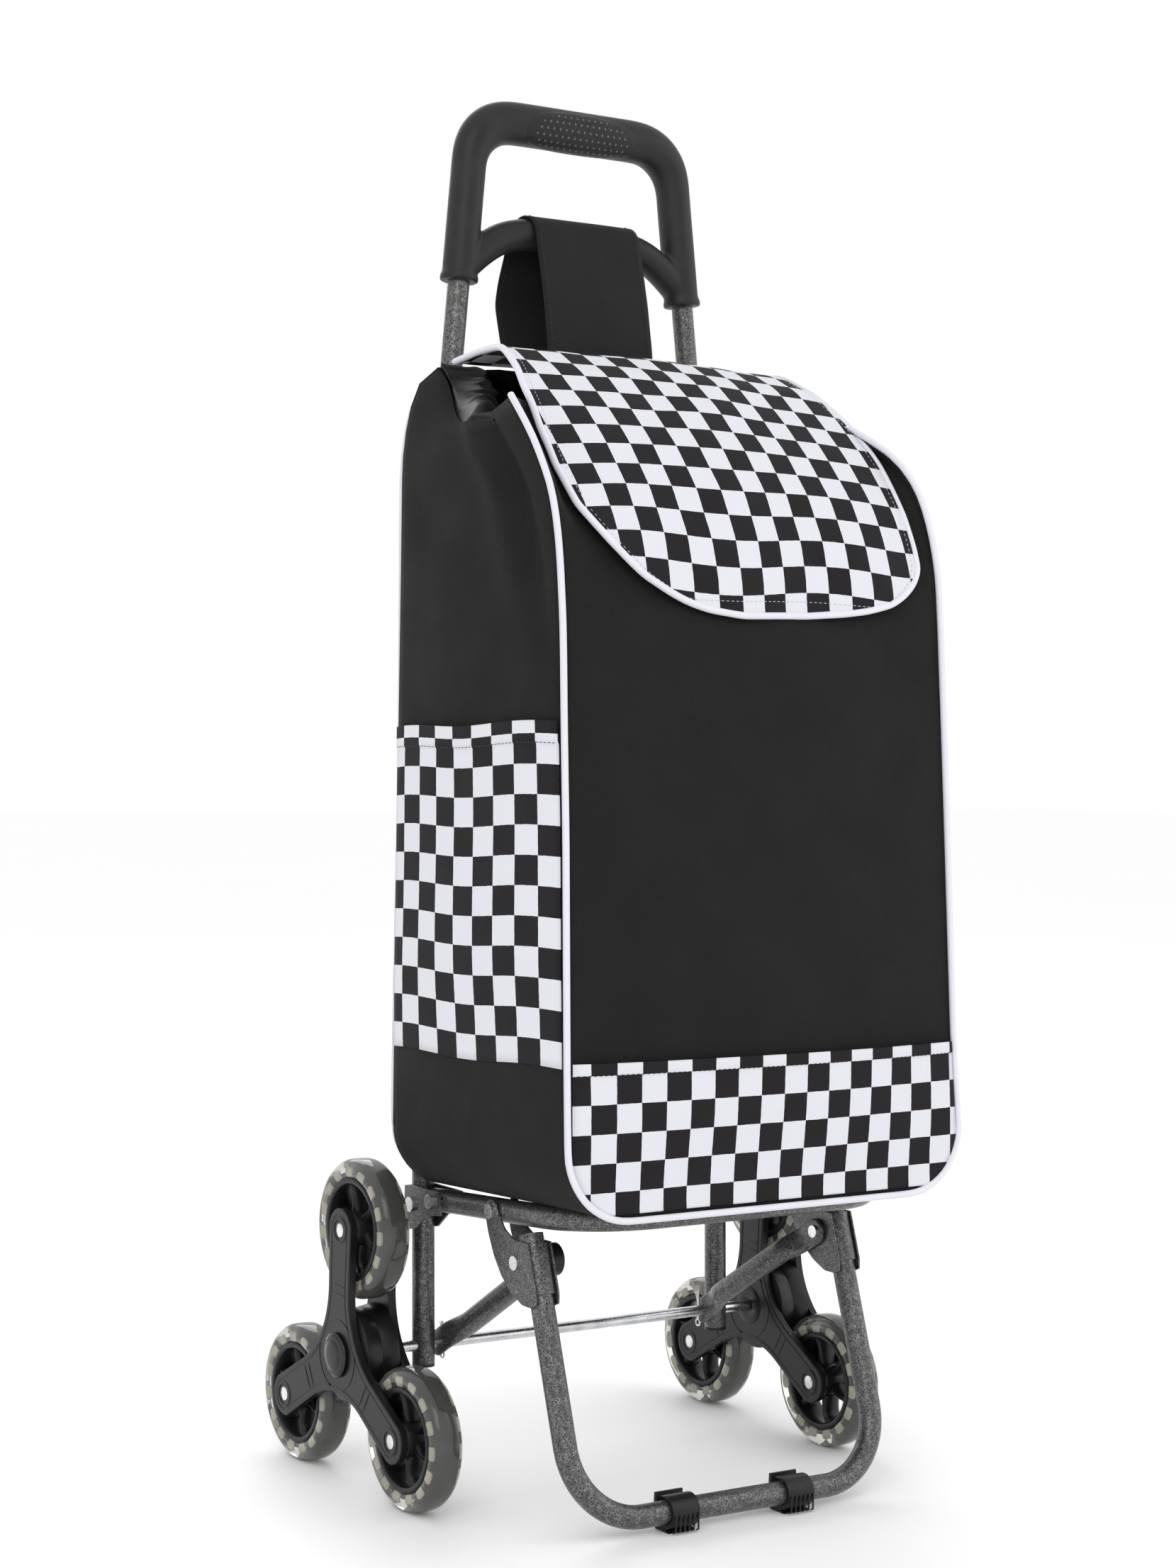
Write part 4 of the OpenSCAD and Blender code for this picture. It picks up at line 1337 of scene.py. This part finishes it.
def eased(value: float, low: float, high: float) -> float:
    """Smooth step from 0 at low to 1 at high.

    Args:
        value: the value to ease.
        low: value at which the step starts.
        high: value at which the step ends.

    Returns:
        A number from 0 to 1.
    """
    t = min(1.0, max(0.0, (value - low) / (high - low)))
    return t * t * (3 - 2 * t)


def front_at(z: float) -> float:
    """Depth of the bag's leaning front panel at a height, in millimetres.

    Args:
        z: height in millimetres.

    Returns:
        Depth in millimetres.
    """
    return -210.0 + (z - 460.0) * math.tan(math.radians(4.86))


def back_at(z: float) -> float:
    """Depth of the bag's back panel at a height, in millimetres.

    Args:
        z: height in millimetres.

    Returns:
        Depth in millimetres.
    """
    return -10.0 + (z - 226.0) * math.tan(math.radians(1.53))


# hem of a side pocket, and the half width over which the flap's middle turns into its sides
POCKET_HEM = 14.2
FLAP_SPREAD = 142
# depth and height down the flap's middle and sides, then height and half width of each side
FLAP_MIDDLE = ((-3, 780.5), (-18, 786), (-36, 789), (-62, 787), (-92, 772), (-122, 749), (-152, 721),
               (-178, 690), (-195, 658), (-203, 630), (-206, 607))
FLAP_LEFT = ((-4, 779.5), (-33, 784.5), (-62, 786), (-90, 768), (-120, 742), (-150, 712), (-172, 688),
             (-190, 664), (-199, 645), (-204, 625), (-206, 607))
FLAP_RIGHT = ((-4, 779), (-30, 784), (-53, 783), (-88, 768), (-117, 745), (-144, 720), (-162, 700),
              (-178, 680), (-190, 660), (-199, 640), (-204, 622), (-206, 607))
FLAP_HALF_LEFT = ((607, 20), (609, 41), (614, 62), (620, 77), (630, 98), (640, 110), (650, 120),
                  (664, 131), (676, 138), (690, 140), (704, 141), (730, 138), (760, 131), (780, 124),
                  (789, 121))
FLAP_HALF_RIGHT = ((607, 34), (609, 60), (613, 84), (619, 108), (626, 121), (634, 131), (645, 138),
                   (660, 139), (680, 140), (698, 141), (717, 142), (735, 141), (753, 138), (779, 125),
                   (789, 122))


def pocket_top(t: float) -> float:
    """Height of a side pocket's wavy top edge.

    Args:
        t: 0 at the front piping and 1 at the back.

    Returns:
        Height in millimetres.
    """
    return 535.0 - 10.0 * t + 1.2 * math.sin(t * 9)


def back_rise(u: float) -> float:
    """How far the rim of the back panel stands above the front rim.

    Args:
        u: -1 at the left end and 1 at the right.

    Returns:
        Height in millimetres.
    """
    return 14.0 + 16.0 * min(1.0, abs(u) / 0.75) ** 2


def shoulder(z: float) -> float:
    """How far the back corners of the bag round inwards at a height.

    Args:
        z: height in millimetres.

    Returns:
        Distance in millimetres.
    """
    return 34.0 * (1 - math.sqrt(1 - min(1.0, max(0.0, (z - 698) / 49)) ** 2))


def looked_up(table: Sequence[Sequence[float]], value: float) -> float:
    """Straight-line value from a rising table of pairs.

    Args:
        table: pairs of key and value, with keys rising.
        value: where to look it up.

    Returns:
        The value.
    """
    return float(np.interp(value, [row[0] for row in table], [row[1] for row in table]))


def flap_depth(path: Sequence[Sequence[float]], z: float) -> float:
    """Depth of the hanging part of a flap path at a height.

    Args:
        path: depth and height pairs down the flap.
        z: height in millimetres.

    Returns:
        Depth in millimetres.
    """
    hanging = [(high, deep) for deep, high in path[3:]][::-1]
    return looked_up(hanging, z)


@dataclass
class Bag:
    """The soft bag: a sagging shell, its piping, pockets and gathered collar."""

    palette: Palette
    low: float = 217.5
    low_back: float = 206.5
    corner: float = 46.0
    half: float = 162.0
    rim: float = 746.0
    left_edge: tuple = ((252, -162), (319, -161), (460, -158), (600, -157), (698, -160), (746, -156))
    right_edge: tuple = ((252, 162), (317, 159), (460, 158), (598, 157), (638, 156), (670, 156),
                         (694, 154), (710, 152),
                         (727, 147), (746, 135))
    left_lean: tuple = ((217, 0), (640, 0), (664, 2), (688, 8), (712, 24), (730, 41), (746, 58))
    right_lean: tuple = ((217, 0), (640, 0), (670, 6), (694, 13), (710, 22), (727, 37), (746, 70))

    def edge_x(self, side: Side, z: float) -> float:
        """Where the front piping stands across the bag at a height.

        Args:
            side: which side.
            z: height in millimetres.

        Returns:
            Distance across in millimetres.
        """
        return looked_up(self.left_edge if side is Side.LEFT else self.right_edge, z)

    def front_y(self, z: float, u: float) -> float:
        """Depth of the front at a height, leaning back at the top; u runs from -1 at the left to 1.

        Args:
            z: height in millimetres.
            u: -1 at the left end and 1 at the right.

        Returns:
            Depth in millimetres.
        """
        left, right = looked_up(self.left_lean, z), looked_up(self.right_lean, z)
        return front_at(z) + left + (right - left) * (u + 1) / 2

    def tucked(self, x: float, y: float, z: float) -> float:
        """Depth of the front panel where the flap covers it, kept behind the flap.

        Args:
            x: distance across in millimetres.
            y: depth before tucking.
            z: height in millimetres.

        Returns:
            Depth in millimetres.
        """
        half = looked_up(FLAP_HALF_LEFT if x < 0 else FLAP_HALF_RIGHT, z)
        middle, edge = flap_depth(FLAP_MIDDLE, z), flap_depth(FLAP_LEFT if x < 0 else FLAP_RIGHT, z)
        flap = middle + (edge - middle) * min(1.0, abs(x) / FLAP_SPREAD) ** 2
        cover = (1 - eased(abs(x), half + 1, 156)) * eased(z, 596, 622)
        return y + (max(y, flap + 8.5) - y) * cover

    def front_point(self, u: float, z: float, out: float = 0.0) -> list:
        """Point of the front panel.

        Args:
            u: -1 at the left piping and 1 at the right.
            z: height.
            out: distance in front of the cloth.

        Returns:
            x, y, z in millimetres.
        """
        left, right = self.span(z)
        x = left + (right - left) * (u + 1) / 2
        swell = 7.5 * (1 - u * u) ** 0.8 * eased(z, 212, 330) * (1 - 0.55 * eased(z, 520, 746))
        slack = 1.3 * ripple((x, z * 0.6, 0), 90, 3.1) * (1 - u**4)
        sag = 2.2 * math.exp(-(((z - 590) / 40) ** 2)) * math.cos(x / 60) * (1 - u**4)
        return [x, self.tucked(x, self.front_y(z, u) - swell - slack - sag, z) - out, z]

    def span(self, z: float) -> tuple:
        """Left and right ends of the front panel at a height, rounded at the bottom.

        Args:
            z: height in millimetres.

        Returns:
            Left and right distances in millimetres.
        """
        if z >= self.low + self.corner:
            return self.edge_x(Side.LEFT, z), self.edge_x(Side.RIGHT, z)
        inset = self.corner - math.sqrt(max(0.0, self.corner**2 - (self.low + self.corner - z) ** 2))
        return -self.half - 0.5 + inset, self.half + 0.5 - inset

    def wall(self, side: Side, z: float, t: float, out: float = 0.0) -> list:
        """Point of a side wall.

        Args:
            side: which wall.
            z: height.
            t: 0 at the front piping and 1 at the back.
            out: distance outside the cloth.

        Returns:
            x, y, z in millimetres.
        """
        s = side.value
        front, back = self.edge_x(side, z), s * (self.half - 2.0 * eased(z, 260, 740))
        x = front + (back - front) * t - s * shoulder(z) * eased(t, 0.4, 1.0)
        y = self.front_y(z, s) + (back_at(z) - self.front_y(z, s)) * t
        swell = 5.5 * math.sin(math.pi * t) ** 0.7 * eased(z, 235, 330) * (1 - 0.5 * eased(z, 600, 740))
        line = 0.06 + 0.20 * (z - 560) / 185
        fold = eased(z, 540, 700)
        crease = -8.5 * math.exp(-(((t - line) / 0.055) ** 2)) + 4.0 * math.exp(-(((t - line
                                                                                    - 0.13) / 0.08) ** 2))
        slant = -3.0 * math.exp(-(((z - 640 - 70 * (t - 0.45)) / 14) ** 2)) * eased(t, 0.25, 0.5) * (1
                - eased(t, 0.8, 1.0))
        wave = 1.6 * ripple((y, z * 0.7, s * 40), 75, 7.3) * math.sin(math.pi * t) ** 0.5
        dip = -(15.0 if side is Side.LEFT else 9.0) * math.sin(math.pi * t) ** 0.8 * eased(z, 690, 746)
        tuck = -5.0 * math.sin(math.pi * t) * eased(z, 715, 746)
        rise = 30.0 * eased(t, 0.4, 1.0) * eased(z, 690, 746)
        return [x + s * (swell + fold * crease + slant + wave + tuck + out), y, z + dip + rise]

    def loop(self, back: bool) -> list:
        """Bottom of the piping loop, from the left wall round to the right wall.

        Args:
            back: whether it is the back panel's loop.

        Returns:
            Points x, y, z.
        """
        low = self.low_back if back else self.low
        pts = arc((-self.half + self.corner, low + self.corner), self.corner, 180, 270, 12)
        pts += [[x, low] for x in np.linspace(-self.half + self.corner + 8, self.half - self.corner - 8,
                                              22)]
        pts += arc((self.half - self.corner, low + self.corner), self.corner, 270, 360, 12)
        return [[x, back_at(z) if back else front_at(z), z] for x, z in pts]

    def edge(self, back: bool) -> np.ndarray:
        """Whole seam of the front or back panel from the left rim round to the right rim.

        Args:
            back: whether it is the back panel's seam.

        Returns:
            Points of the seam.
        """
        heights = np.linspace(self.rim, 262, 50)
        t = 1.0 if back else 0.0
        left = [self.wall(Side.LEFT, z, t) for z in heights]
        right = [self.wall(Side.RIGHT, z, t) for z in heights[::-1]]
        return np.array(left + self.loop(back)[1:-1] + right)

    def build(self) -> None:
        """Makes every part of the bag."""
        self.shell()
        self.seams()
        self.front_pocket()
        for side in Side:
            self.side_pocket(side)
        self.collar()
        self.board()

    def folded(self, obj: bpy.types.Object) -> None:
        """Gives a soft piece its own copy of its mesh.

        Args:
            obj: the piece.
        """
        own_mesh(obj)

    def shell(self) -> None:
        """Makes the shell of front, back, side and bottom cloth."""
        form = Form("bag_shell")
        heights = np.concatenate([self.low + self.corner * (1 - np.cos(np.linspace(0, 1.25, 12))) * 0.9,
                                  np.linspace(262, self.rim, 78)])
        across = np.linspace(-1, 1, 52)
        front = np.array([[self.front_point(u, z) for u in across] for z in heights])
        form.grid(front, front[:, :, [0, 2]])
        low = np.linspace(0, 1, 30)
        rows = []
        seam_f, seam_b = self.edge(False), self.edge(True)
        for f, b in zip(seam_f, seam_b):
            rows.append([f + (b - f) * t for t in low])
        wall = np.array(rows)
        for i, z in enumerate(np.linspace(self.rim, 262, 50)):
            wall[i] = [self.wall(Side.LEFT, z, t) for t in low]
            wall[len(wall) - 1 - i] = [self.wall(Side.RIGHT, z, t) for t in low]
        girth = lengths(wall[:, 15])
        flat = np.stack(np.broadcast_arrays(low[None, :] * 200, girth[:, None]), axis=2)
        form.grid(wall, flat)
        back = []
        for z in np.concatenate([self.low_back + 52 * (1 - np.cos(np.linspace(0, 1.2, 10))),
                                 np.linspace(252, self.rim, 50)]):
            inset = 0.0
            if z < self.low_back + self.corner:
                inset = self.corner - math.sqrt(max(0.0, self.corner**2
                                                    - (self.low_back + self.corner - z) ** 2))
            half = self.half - inset - 2.0 * eased(z, 260, 740) - shoulder(z)
            row = []
            for u in np.linspace(1, -1, 30):
                bow = (1.5 + 0.8 * ripple((u * 160, z, 9), 80, 2.0)) * (1 - u * u)
                rise = back_rise(u) * eased(z, 690, 746)
                row.append([half * u, back_at(z) - bow, z + rise])
            back.append(row)
        back_pts = np.array(back)
        form.grid(back_pts, back_pts[:, :, [0, 2]])
        obj = form.made("frame", "bag_fabric", self.palette.twill)
        thickened(obj, 1.4, -1.0)
        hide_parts("bag_body")
        self.folded(obj)

    def seams(self) -> None:
        """Makes the white piping round the front and back panels."""
        for back in (False, True):
            path = self.edge(back)
            middle = np.array([0, path[:, 1].mean(), 480.0])
            away = path - middle
            away[:, 1] = 0
            away /= np.linalg.norm(away, axis=1)[:, None]
            path = path + away * (-3.4 if back else 0.7)
            path[:, 1] += 2.6 if back else -1.6
            path[1:-1] = (path[:-2] + 2 * path[1:-1] + path[2:]) / 4
            form = Form("back_seam_piping" if back else "front_seam_piping")
            form.sweep(resampled(path, 260), 2.3, 2.2, (0, 1, 0), 14)
            obj = form.made("frame", "piping_white", self.palette.piping)
            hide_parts("back_piping" if back else "front_piping")
            self.folded(obj)

    def front_pocket(self) -> None:
        """Makes the checked front pocket and its hem stitching."""
        top, low = 318.5, 221.5
        form = Form("front_pocket_cloth")
        heights = np.concatenate([[top, top - 2, top - 6.5, top - 8.2],
                                  np.linspace(top - 12, self.low + self.corner,
                                              12), self.low + self.corner * (1
                                                      - np.cos(np.linspace(1.45, 0.42, 14)))])
        across = np.linspace(-0.982, 0.982, 56)
        pts, flat = [], []
        for z in heights:
            hem = 0.9 if z > top - 7 else 0.0
            puff = 3.2 * eased(z, 225, 290)
            row = [self.front_point(u, z, 1.1 + hem + puff * (1 - u**6)
                                    + 0.9 * ripple((u * 160, z, 1), 45, 5.0) * (1 - u**8)) for u in across]
            pts.append(row)
            flat.append([[p[0], top - z] for p in row])
        form.grid(np.array(pts), np.array(flat))
        obj = form.made("frame", "checked_fabric", self.palette.front_check)
        thickened(obj, 0.9, -1.0)
        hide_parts("front_pocket")
        self.folded(obj)
        seam = Form("front_pocket_stitching")
        line = np.array([self.front_point(u, top - 7.6, 2.2 + 3.2 * (1 - u**6))
                         for u in np.linspace(-0.97, 0.97, 90)])
        line[:, 1] -= 0.35
        seam.stitches(line)
        thread = seam.made("frame", "piping_white", self.palette.dark_thread)
        self.folded(thread)

    def side_pocket(self, side: Side) -> None:
        """Makes one checked side pocket and its hem stitching.

        Args:
            side: which side of the bag.
        """
        form = Form(f"side_pocket_cloth_{side.word}")
        pts, flat = [], []
        heights = np.concatenate([[0.0, 2.0, 13.0, 15.5], np.linspace(20, 220, 30)])
        across = np.linspace(0.015, 0.985, 40)
        for down in heights:
            row, spots = [], []
            for t in across:
                z = pocket_top(t) - down
                hem = 0.9 if down < 14 else 0.0
                puff = 2.6 * math.sin(math.pi * t) ** 0.6 * (1 - eased(down, 150, 220))
                row.append(self.wall(side, z, t, 1.2 + hem + puff))
                spots.append([t * 163.0, down * 0.96])
            pts.append(row)
            flat.append(spots)
        form.grid(np.array(pts), np.array(flat))
        obj = form.made("frame", "checked_fabric", self.palette.side_check)
        thickened(obj, 0.9, -1.0 if side is Side.LEFT else 1.0)
        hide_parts(f"side_pocket_{side.word}")
        self.folded(obj)
        seam = Form(f"side_pocket_stitching_{side.word}")
        line = [self.wall(side, pocket_top(t) - POCKET_HEM, t, 2.6 + 2.6 * math.sin(math.pi * t) ** 0.6)
                for t in np.linspace(0.02, 0.98, 60)]
        seam.stitches(np.array(line))
        thread = seam.made("frame", "piping_white", self.palette.dark_thread)
        self.folded(thread)

    def collar(self) -> None:
        """Makes the gathered collar that closes the top of the bag."""
        form = Form("gathered_collar")
        count = 420
        rows = [(-7, 0.02), (-1, 0.03), (4, 0.07), (9, 0.16), (14, 0.3), (17, 0.48), (18, 0.68),
                (15, 0.86), (8, 0.97), (0, 1.0)]
        pts = np.zeros((len(rows), count, 3))
        flat = np.zeros((len(rows), count, 2))
        rim = resampled(self.rim_loop(), count + 1)[:-1]
        middle = np.array([0.0, -56.0])
        for j, (x, y, z) in enumerate(rim):
            away = middle - (x * 0.72, y)
            away /= np.linalg.norm(away)
            high = float(np.interp(y, [-125, -100, -60, -32, -4], [0.1, 0.4, 0.95, 0.35, -0.35]))
            folds = math.sin(j * 0.44 + 2.6 * ripple((x, y, 5), 34, 1.0)) + 0.55 * math.sin(j * 0.83 + 1.7)
            droop = 13.0 * (1 - eased(y, -112, -66))
            for i, (up, lean) in enumerate(rows):
                grip = eased(up + 30 * lean, 0, 16)
                reach = 30.0 * lean + (1.9 * folds + 2.4 * ripple((x, y, up * 2), 20, 4.0)) * grip
                lift = up * high * (1 + 0.16 * folds) + 2.2 * ripple((x, y, up), 24, 8.0) * grip
                pts[i, j] = [x + away[0] * (reach + 1.5), y + away[1] * (reach + 1.5), z + lift
                             - droop * lean]
                flat[i, j] = [j * 2.0, 30 * lean]
        form.grid(pts, flat, wrap=True)
        obj = form.made("frame", "collar_fabric", self.palette.lining)
        thickened(obj, 0.7, 0.0)
        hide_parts("bag_collar")
        self.folded(obj)

    def rim_loop(self) -> np.ndarray:
        """Closed loop along the rim of the shell: left wall, back, right wall, front.

        Returns:
            Points of the loop.
        """
        share = np.linspace(0, 1, 24)
        half = self.half - 2.0 - shoulder(self.rim)
        back = [[half * u, back_at(self.rim), self.rim + back_rise(u)] for u in np.linspace(-1, 1, 30)]
        left = [self.wall(Side.LEFT, self.rim, t) for t in share]
        right = [self.wall(Side.RIGHT, self.rim, t) for t in share[::-1]]
        front = [self.front_point(u, self.rim) for u in np.linspace(1, -1, 30)]
        return np.array(left + back[1:-1] + right + front[1:])

    def board(self) -> None:
        """Makes the stiff board in the bottom of the bag."""
        form = Form("base_board_panel")
        loop = []
        for cx, cy, a in ((105, 85, 0), (-105, 85, 90), (-105, -85, 180), (105, -85, 270)):
            loop += arc((cx, cy), 12, a, a + 90, 8)
        rings = []
        for up in (0.0, 3.0):
            rings.append([[x, -120 + y, 214.6 + up - (y / 12.7)] for x, y in loop])
        form.grid(np.array(rings), wrap=True)
        form.cap(np.array(rings[0]), False)
        form.cap(np.array(rings[1]), True)
        obj = form.made("frame", "board", self.palette.board)
        welded(obj)
        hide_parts("base_board")
        self.folded(obj)


@dataclass
class Flap:
    """The checked flap that drapes over the mouth of the bag."""

    palette: Palette
    bag: Bag
    rows: int = 96
    cols: int = 60

    def surface(self) -> tuple:
        """The flap's cloth.

        Returns:
            Points and flat coordinates.
        """
        mid = rounded(FLAP_MIDDLE, self.rows, 4)
        edges = {Side.LEFT: rounded(FLAP_LEFT, self.rows, 4), Side.RIGHT: rounded(FLAP_RIGHT, self.rows, 4)}
        down = lengths(mid)
        share = down / down[-1]
        pts = np.zeros((self.rows, self.cols, 3))
        flat = np.zeros((self.rows, self.cols, 2))
        for i in range(self.rows):
            left = looked_up(FLAP_HALF_LEFT, mid[i, 1])
            right = looked_up(FLAP_HALF_RIGHT, mid[i, 1])
            for j, u in enumerate(np.linspace(-1, 1, self.cols)):
                side = Side.LEFT if u < 0 else Side.RIGHT
                x = u * (left if u < 0 else right)
                weight = (abs(x) / FLAP_SPREAD) ** 2
                y, z = mid[i] + (edges[side][i] - mid[i]) * min(1.0, weight)
                hang = eased(share[i], 0.25, 0.9)
                wave = 1.9 * math.sin(x / 17.0 + share[i] * 3) * hang + 1.6 * ripple((x, down[i], 0), 42,
                                                                                     2.7)
                y -= wave * eased(share[i], 0.3, 0.6) * 0.8
                z += wave * (1 - eased(share[i], 0.35, 0.65)) * 0.7 + 0.9 * math.sin(x / 24.0) * hang
                pts[i, j] = [x, y, z]
                flat[i, j] = [x, down[i] + 1.5 * math.sin(x / 26.0 + down[i] / 50) * hang]
        return pts, flat

    def build(self) -> None:
        """Makes the flap, its piping and its stitching."""
        pts, flat = self.surface()
        form = Form("flap_cloth")
        form.grid(pts, flat)
        obj = form.made("flap", "checked_fabric", self.palette.flap_check)
        thickened(obj, 1.8, 0.0)
        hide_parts("flap")
        self.bag.folded(obj)
        edge = np.concatenate([pts[:, 0], pts[-1, 1:-1], pts[::-1, -1]])
        edge = rounded(edge, 300, 3)
        trim = Form("flap_edge_piping")
        trim.sweep(edge, 2.4, 2.4, (0.3, 0.8, 0.52), 14)
        piping = trim.made("flap", "piping_white", self.palette.piping)
        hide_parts("flap_piping")
        self.bag.folded(piping)
        inner = np.concatenate([self.inset(pts, 0), self.inset_row(pts), self.inset(pts, -1)[::-1]])
        seam = Form("flap_stitching")
        seam.stitches(rounded(inner, 320, 4), 2.4, 1.6, 0.22)
        thread = seam.made("flap", "piping_white", self.palette.thread)
        self.bag.folded(thread)
        LOG.info("flap edge is %.0f mm long", lengths(edge)[-1])

    def inset(self, pts: np.ndarray, column: int) -> np.ndarray:
        """Line just inside one side edge, raised above the cloth.

        Args:
            pts: the flap's points.
            column: 0 for the left edge and -1 for the right.

        Returns:
            Points of the line.
        """
        inner = 3 if column == 0 else -4
        edge, other = pts[:-4, column], pts[:-4, inner]
        away = other - edge
        away /= np.linalg.norm(away, axis=1)[:, None] + 1e-9
        line = edge + away * 5.6
        hang = np.linspace(0, 1, len(line))
        line[:, 1] -= np.interp(hang, [0, 0.4, 0.6, 1], [0.2, 0.6, 1.1, 1.1])
        line[:, 2] += np.interp(hang, [0, 0.4, 0.6, 1], [1.1, 0.9, 0.2, 0.0])
        return line

    def inset_row(self, pts: np.ndarray) -> np.ndarray:
        """Line just above the bottom edge.

        Args:
            pts: the flap's points.

        Returns:
            Points of the line.
        """
        line = pts[-4, 2:-2].copy()
        line[:, 1] -= 1.1
        return line


@dataclass
class Strap:
    """Wide webbing loop from the bag over the arch bar."""

    palette: Palette
    lean: float = 2.77
    width: float = 90.0
    left: float = -41.0
    arch: float = 791.0

    def path(self) -> np.ndarray:
        """Depth and height along the loop.

        Returns:
            Points of depth and height.
        """
        lean = math.radians(self.lean)
        bar_y, bar_z = self.arch * math.sin(lean), AXLE_Z + self.arch * math.cos(lean)
        pts = [[2.6, 774], [4.5, 800], [12, 835]]
        pts += arc((bar_y, bar_z), 13.2, 170, -8, 18)
        pts += [[bar_y + 15.5, bar_z - 22], [60, 832], [50, 800], [24, 776], [8, 758], [5.2, 740],
                [4.2, 702]]
        return rounded(pts, 120, 3)

    def build(self) -> None:
        """Makes the strap and its edge stitching."""
        path = self.path()
        along = lengths(path)
        cols = 26
        pts = np.zeros((len(path), cols, 3))
        flat = np.zeros((len(path), cols, 2))
        for i, (y, z) in enumerate(path):
            drift = -11.0 * eased(along[i], 110, 190)
            for j, u in enumerate(np.linspace(0, 1, cols)):
                wave = 1.1 * ripple((u * 90, along[i], 2), 60, 6.0)
                pts[i, j] = [self.left + drift + u * self.width, y - wave * 0.7, z + wave * 0.2]
                flat[i, j] = [u * self.width, along[i]]
        form = Form("strap_webbing")
        form.grid(pts, flat)
        obj = form.made("frame", "webbing", self.palette.webbing)
        thickened(obj, 1.5, 0.0)
        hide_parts("handle_strap")
        seam = Form("strap_stitching")
        normal = np.gradient(path, axis=0)
        normal /= np.linalg.norm(normal, axis=1)[:, None]
        out = np.stack([np.zeros(len(path)), -normal[:, 1], normal[:, 0]], axis=1)
        for u in (3.2 / 90, 1 - 3.2 / 90):
            line = pts[:, int(round(u * (cols - 1)))].copy()
            line[:, 0] = self.left + u * self.width + (pts[:, 0, 0] - self.left)
            for lift in (0.95, -0.95):
                seam.stitches(line + out * lift, 2.8, 1.2, 0.26)
        seam.made("frame", "webbing", self.palette.dark_thread)


# ---------------------------------------------------------------- studio


@dataclass
class Studio:
    """Pale floor, soft lights and the camera."""

    yaw: float = -34.0
    pitch: float = 1.96
    roll: float = 1.49
    eye: tuple = (-1.17683, -1.68834, 0.55853)
    lens: float = 66.84

    def build(self) -> None:
        """Makes the floor, the lights and the camera."""
        bpy.context.scene.view_settings.view_transform = "Standard"
        self.floor()
        self.light("key", (-2.2, -2.6, 2.6), 2.2, 30.0)
        self.light("fill", (2.6, -1.8, 1.7), 2.4, 14.0)
        self.light("rim", (0.6, 2.6, 2.2), 1.8, 24.0)
        world = bpy.data.worlds.new("studio_air")
        world.use_nodes = True
        shade = world.node_tree.nodes["Background"]
        shade.inputs[0].default_value = (1.0, 1.0, 1.0, 1)
        shade.inputs[1].default_value = 1.0
        bpy.context.scene.world = world
        self.camera()

    def floor(self) -> None:
        """Makes the pale floor."""
        data = bpy.data.meshes.new("floor")
        r = 9.0
        data.from_pydata([(-r, -r, 0), (r, -r, 0), (r, r, 0), (-r, r, 0)], [], [(0, 1, 2, 3)])
        data.materials.append(StudioFloor().made())
        obj = bpy.data.objects.new("floor", data)
        bpy.context.scene.collection.objects.link(obj)

    def light(self, name: str, spot: Sequence[float], size: float, power: float) -> None:
        """Adds a soft square light aimed at the middle of the trolley.

        Args:
            name: its name.
            spot: its place in metres.
            size: side length in metres.
            power: watts.
        """
        data = bpy.data.lights.new(name, "AREA")
        data.shape = "SQUARE"
        data.size = size
        data.energy = power
        obj = bpy.data.objects.new(name, data)
        obj.location = spot
        aim = Vector((0, 0, 0.5)) - Vector(spot)
        obj.rotation_mode = "QUATERNION"
        obj.rotation_quaternion = aim.to_track_quat("-Z", "Y")
        bpy.context.scene.collection.objects.link(obj)

    def camera(self) -> None:
        """Makes the camera from its turning angles."""
        a, p, r = (math.radians(v) for v in (self.yaw, self.pitch, self.roll))
        ahead = Vector((-math.sin(a) * math.cos(p), math.cos(a) * math.cos(p), -math.sin(p)))
        right = Vector((math.cos(a), math.sin(a), 0))
        up = right.cross(ahead)
        right_r = right * math.cos(r) + up * math.sin(r)
        up_r = up * math.cos(r) - right * math.sin(r)
        data = bpy.data.cameras.new("view")
        data.lens = self.lens
        data.sensor_width = 36.0
        obj = bpy.data.objects.new("view", data)
        turn = Matrix((right_r, up_r, -ahead)).transposed().to_4x4()
        obj.matrix_world = Matrix.Translation(Vector(self.eye)) @ turn
        bpy.context.scene.collection.objects.link(obj)
        bpy.context.scene.camera = obj


def main() -> None:
    """Builds the studio and every part of the trolley."""
    logging.basicConfig(level=logging.INFO)
    Studio().build()
    palette = Palette()
    FrameTubes(palette).build()
    Handle(palette).build()
    for side in Side:
        WheelStar(palette, side).build()
    bag = Bag(palette)
    bag.build()
    Flap(palette, bag).build()
    Strap(palette).build()


if __name__ == "__main__":
    main()
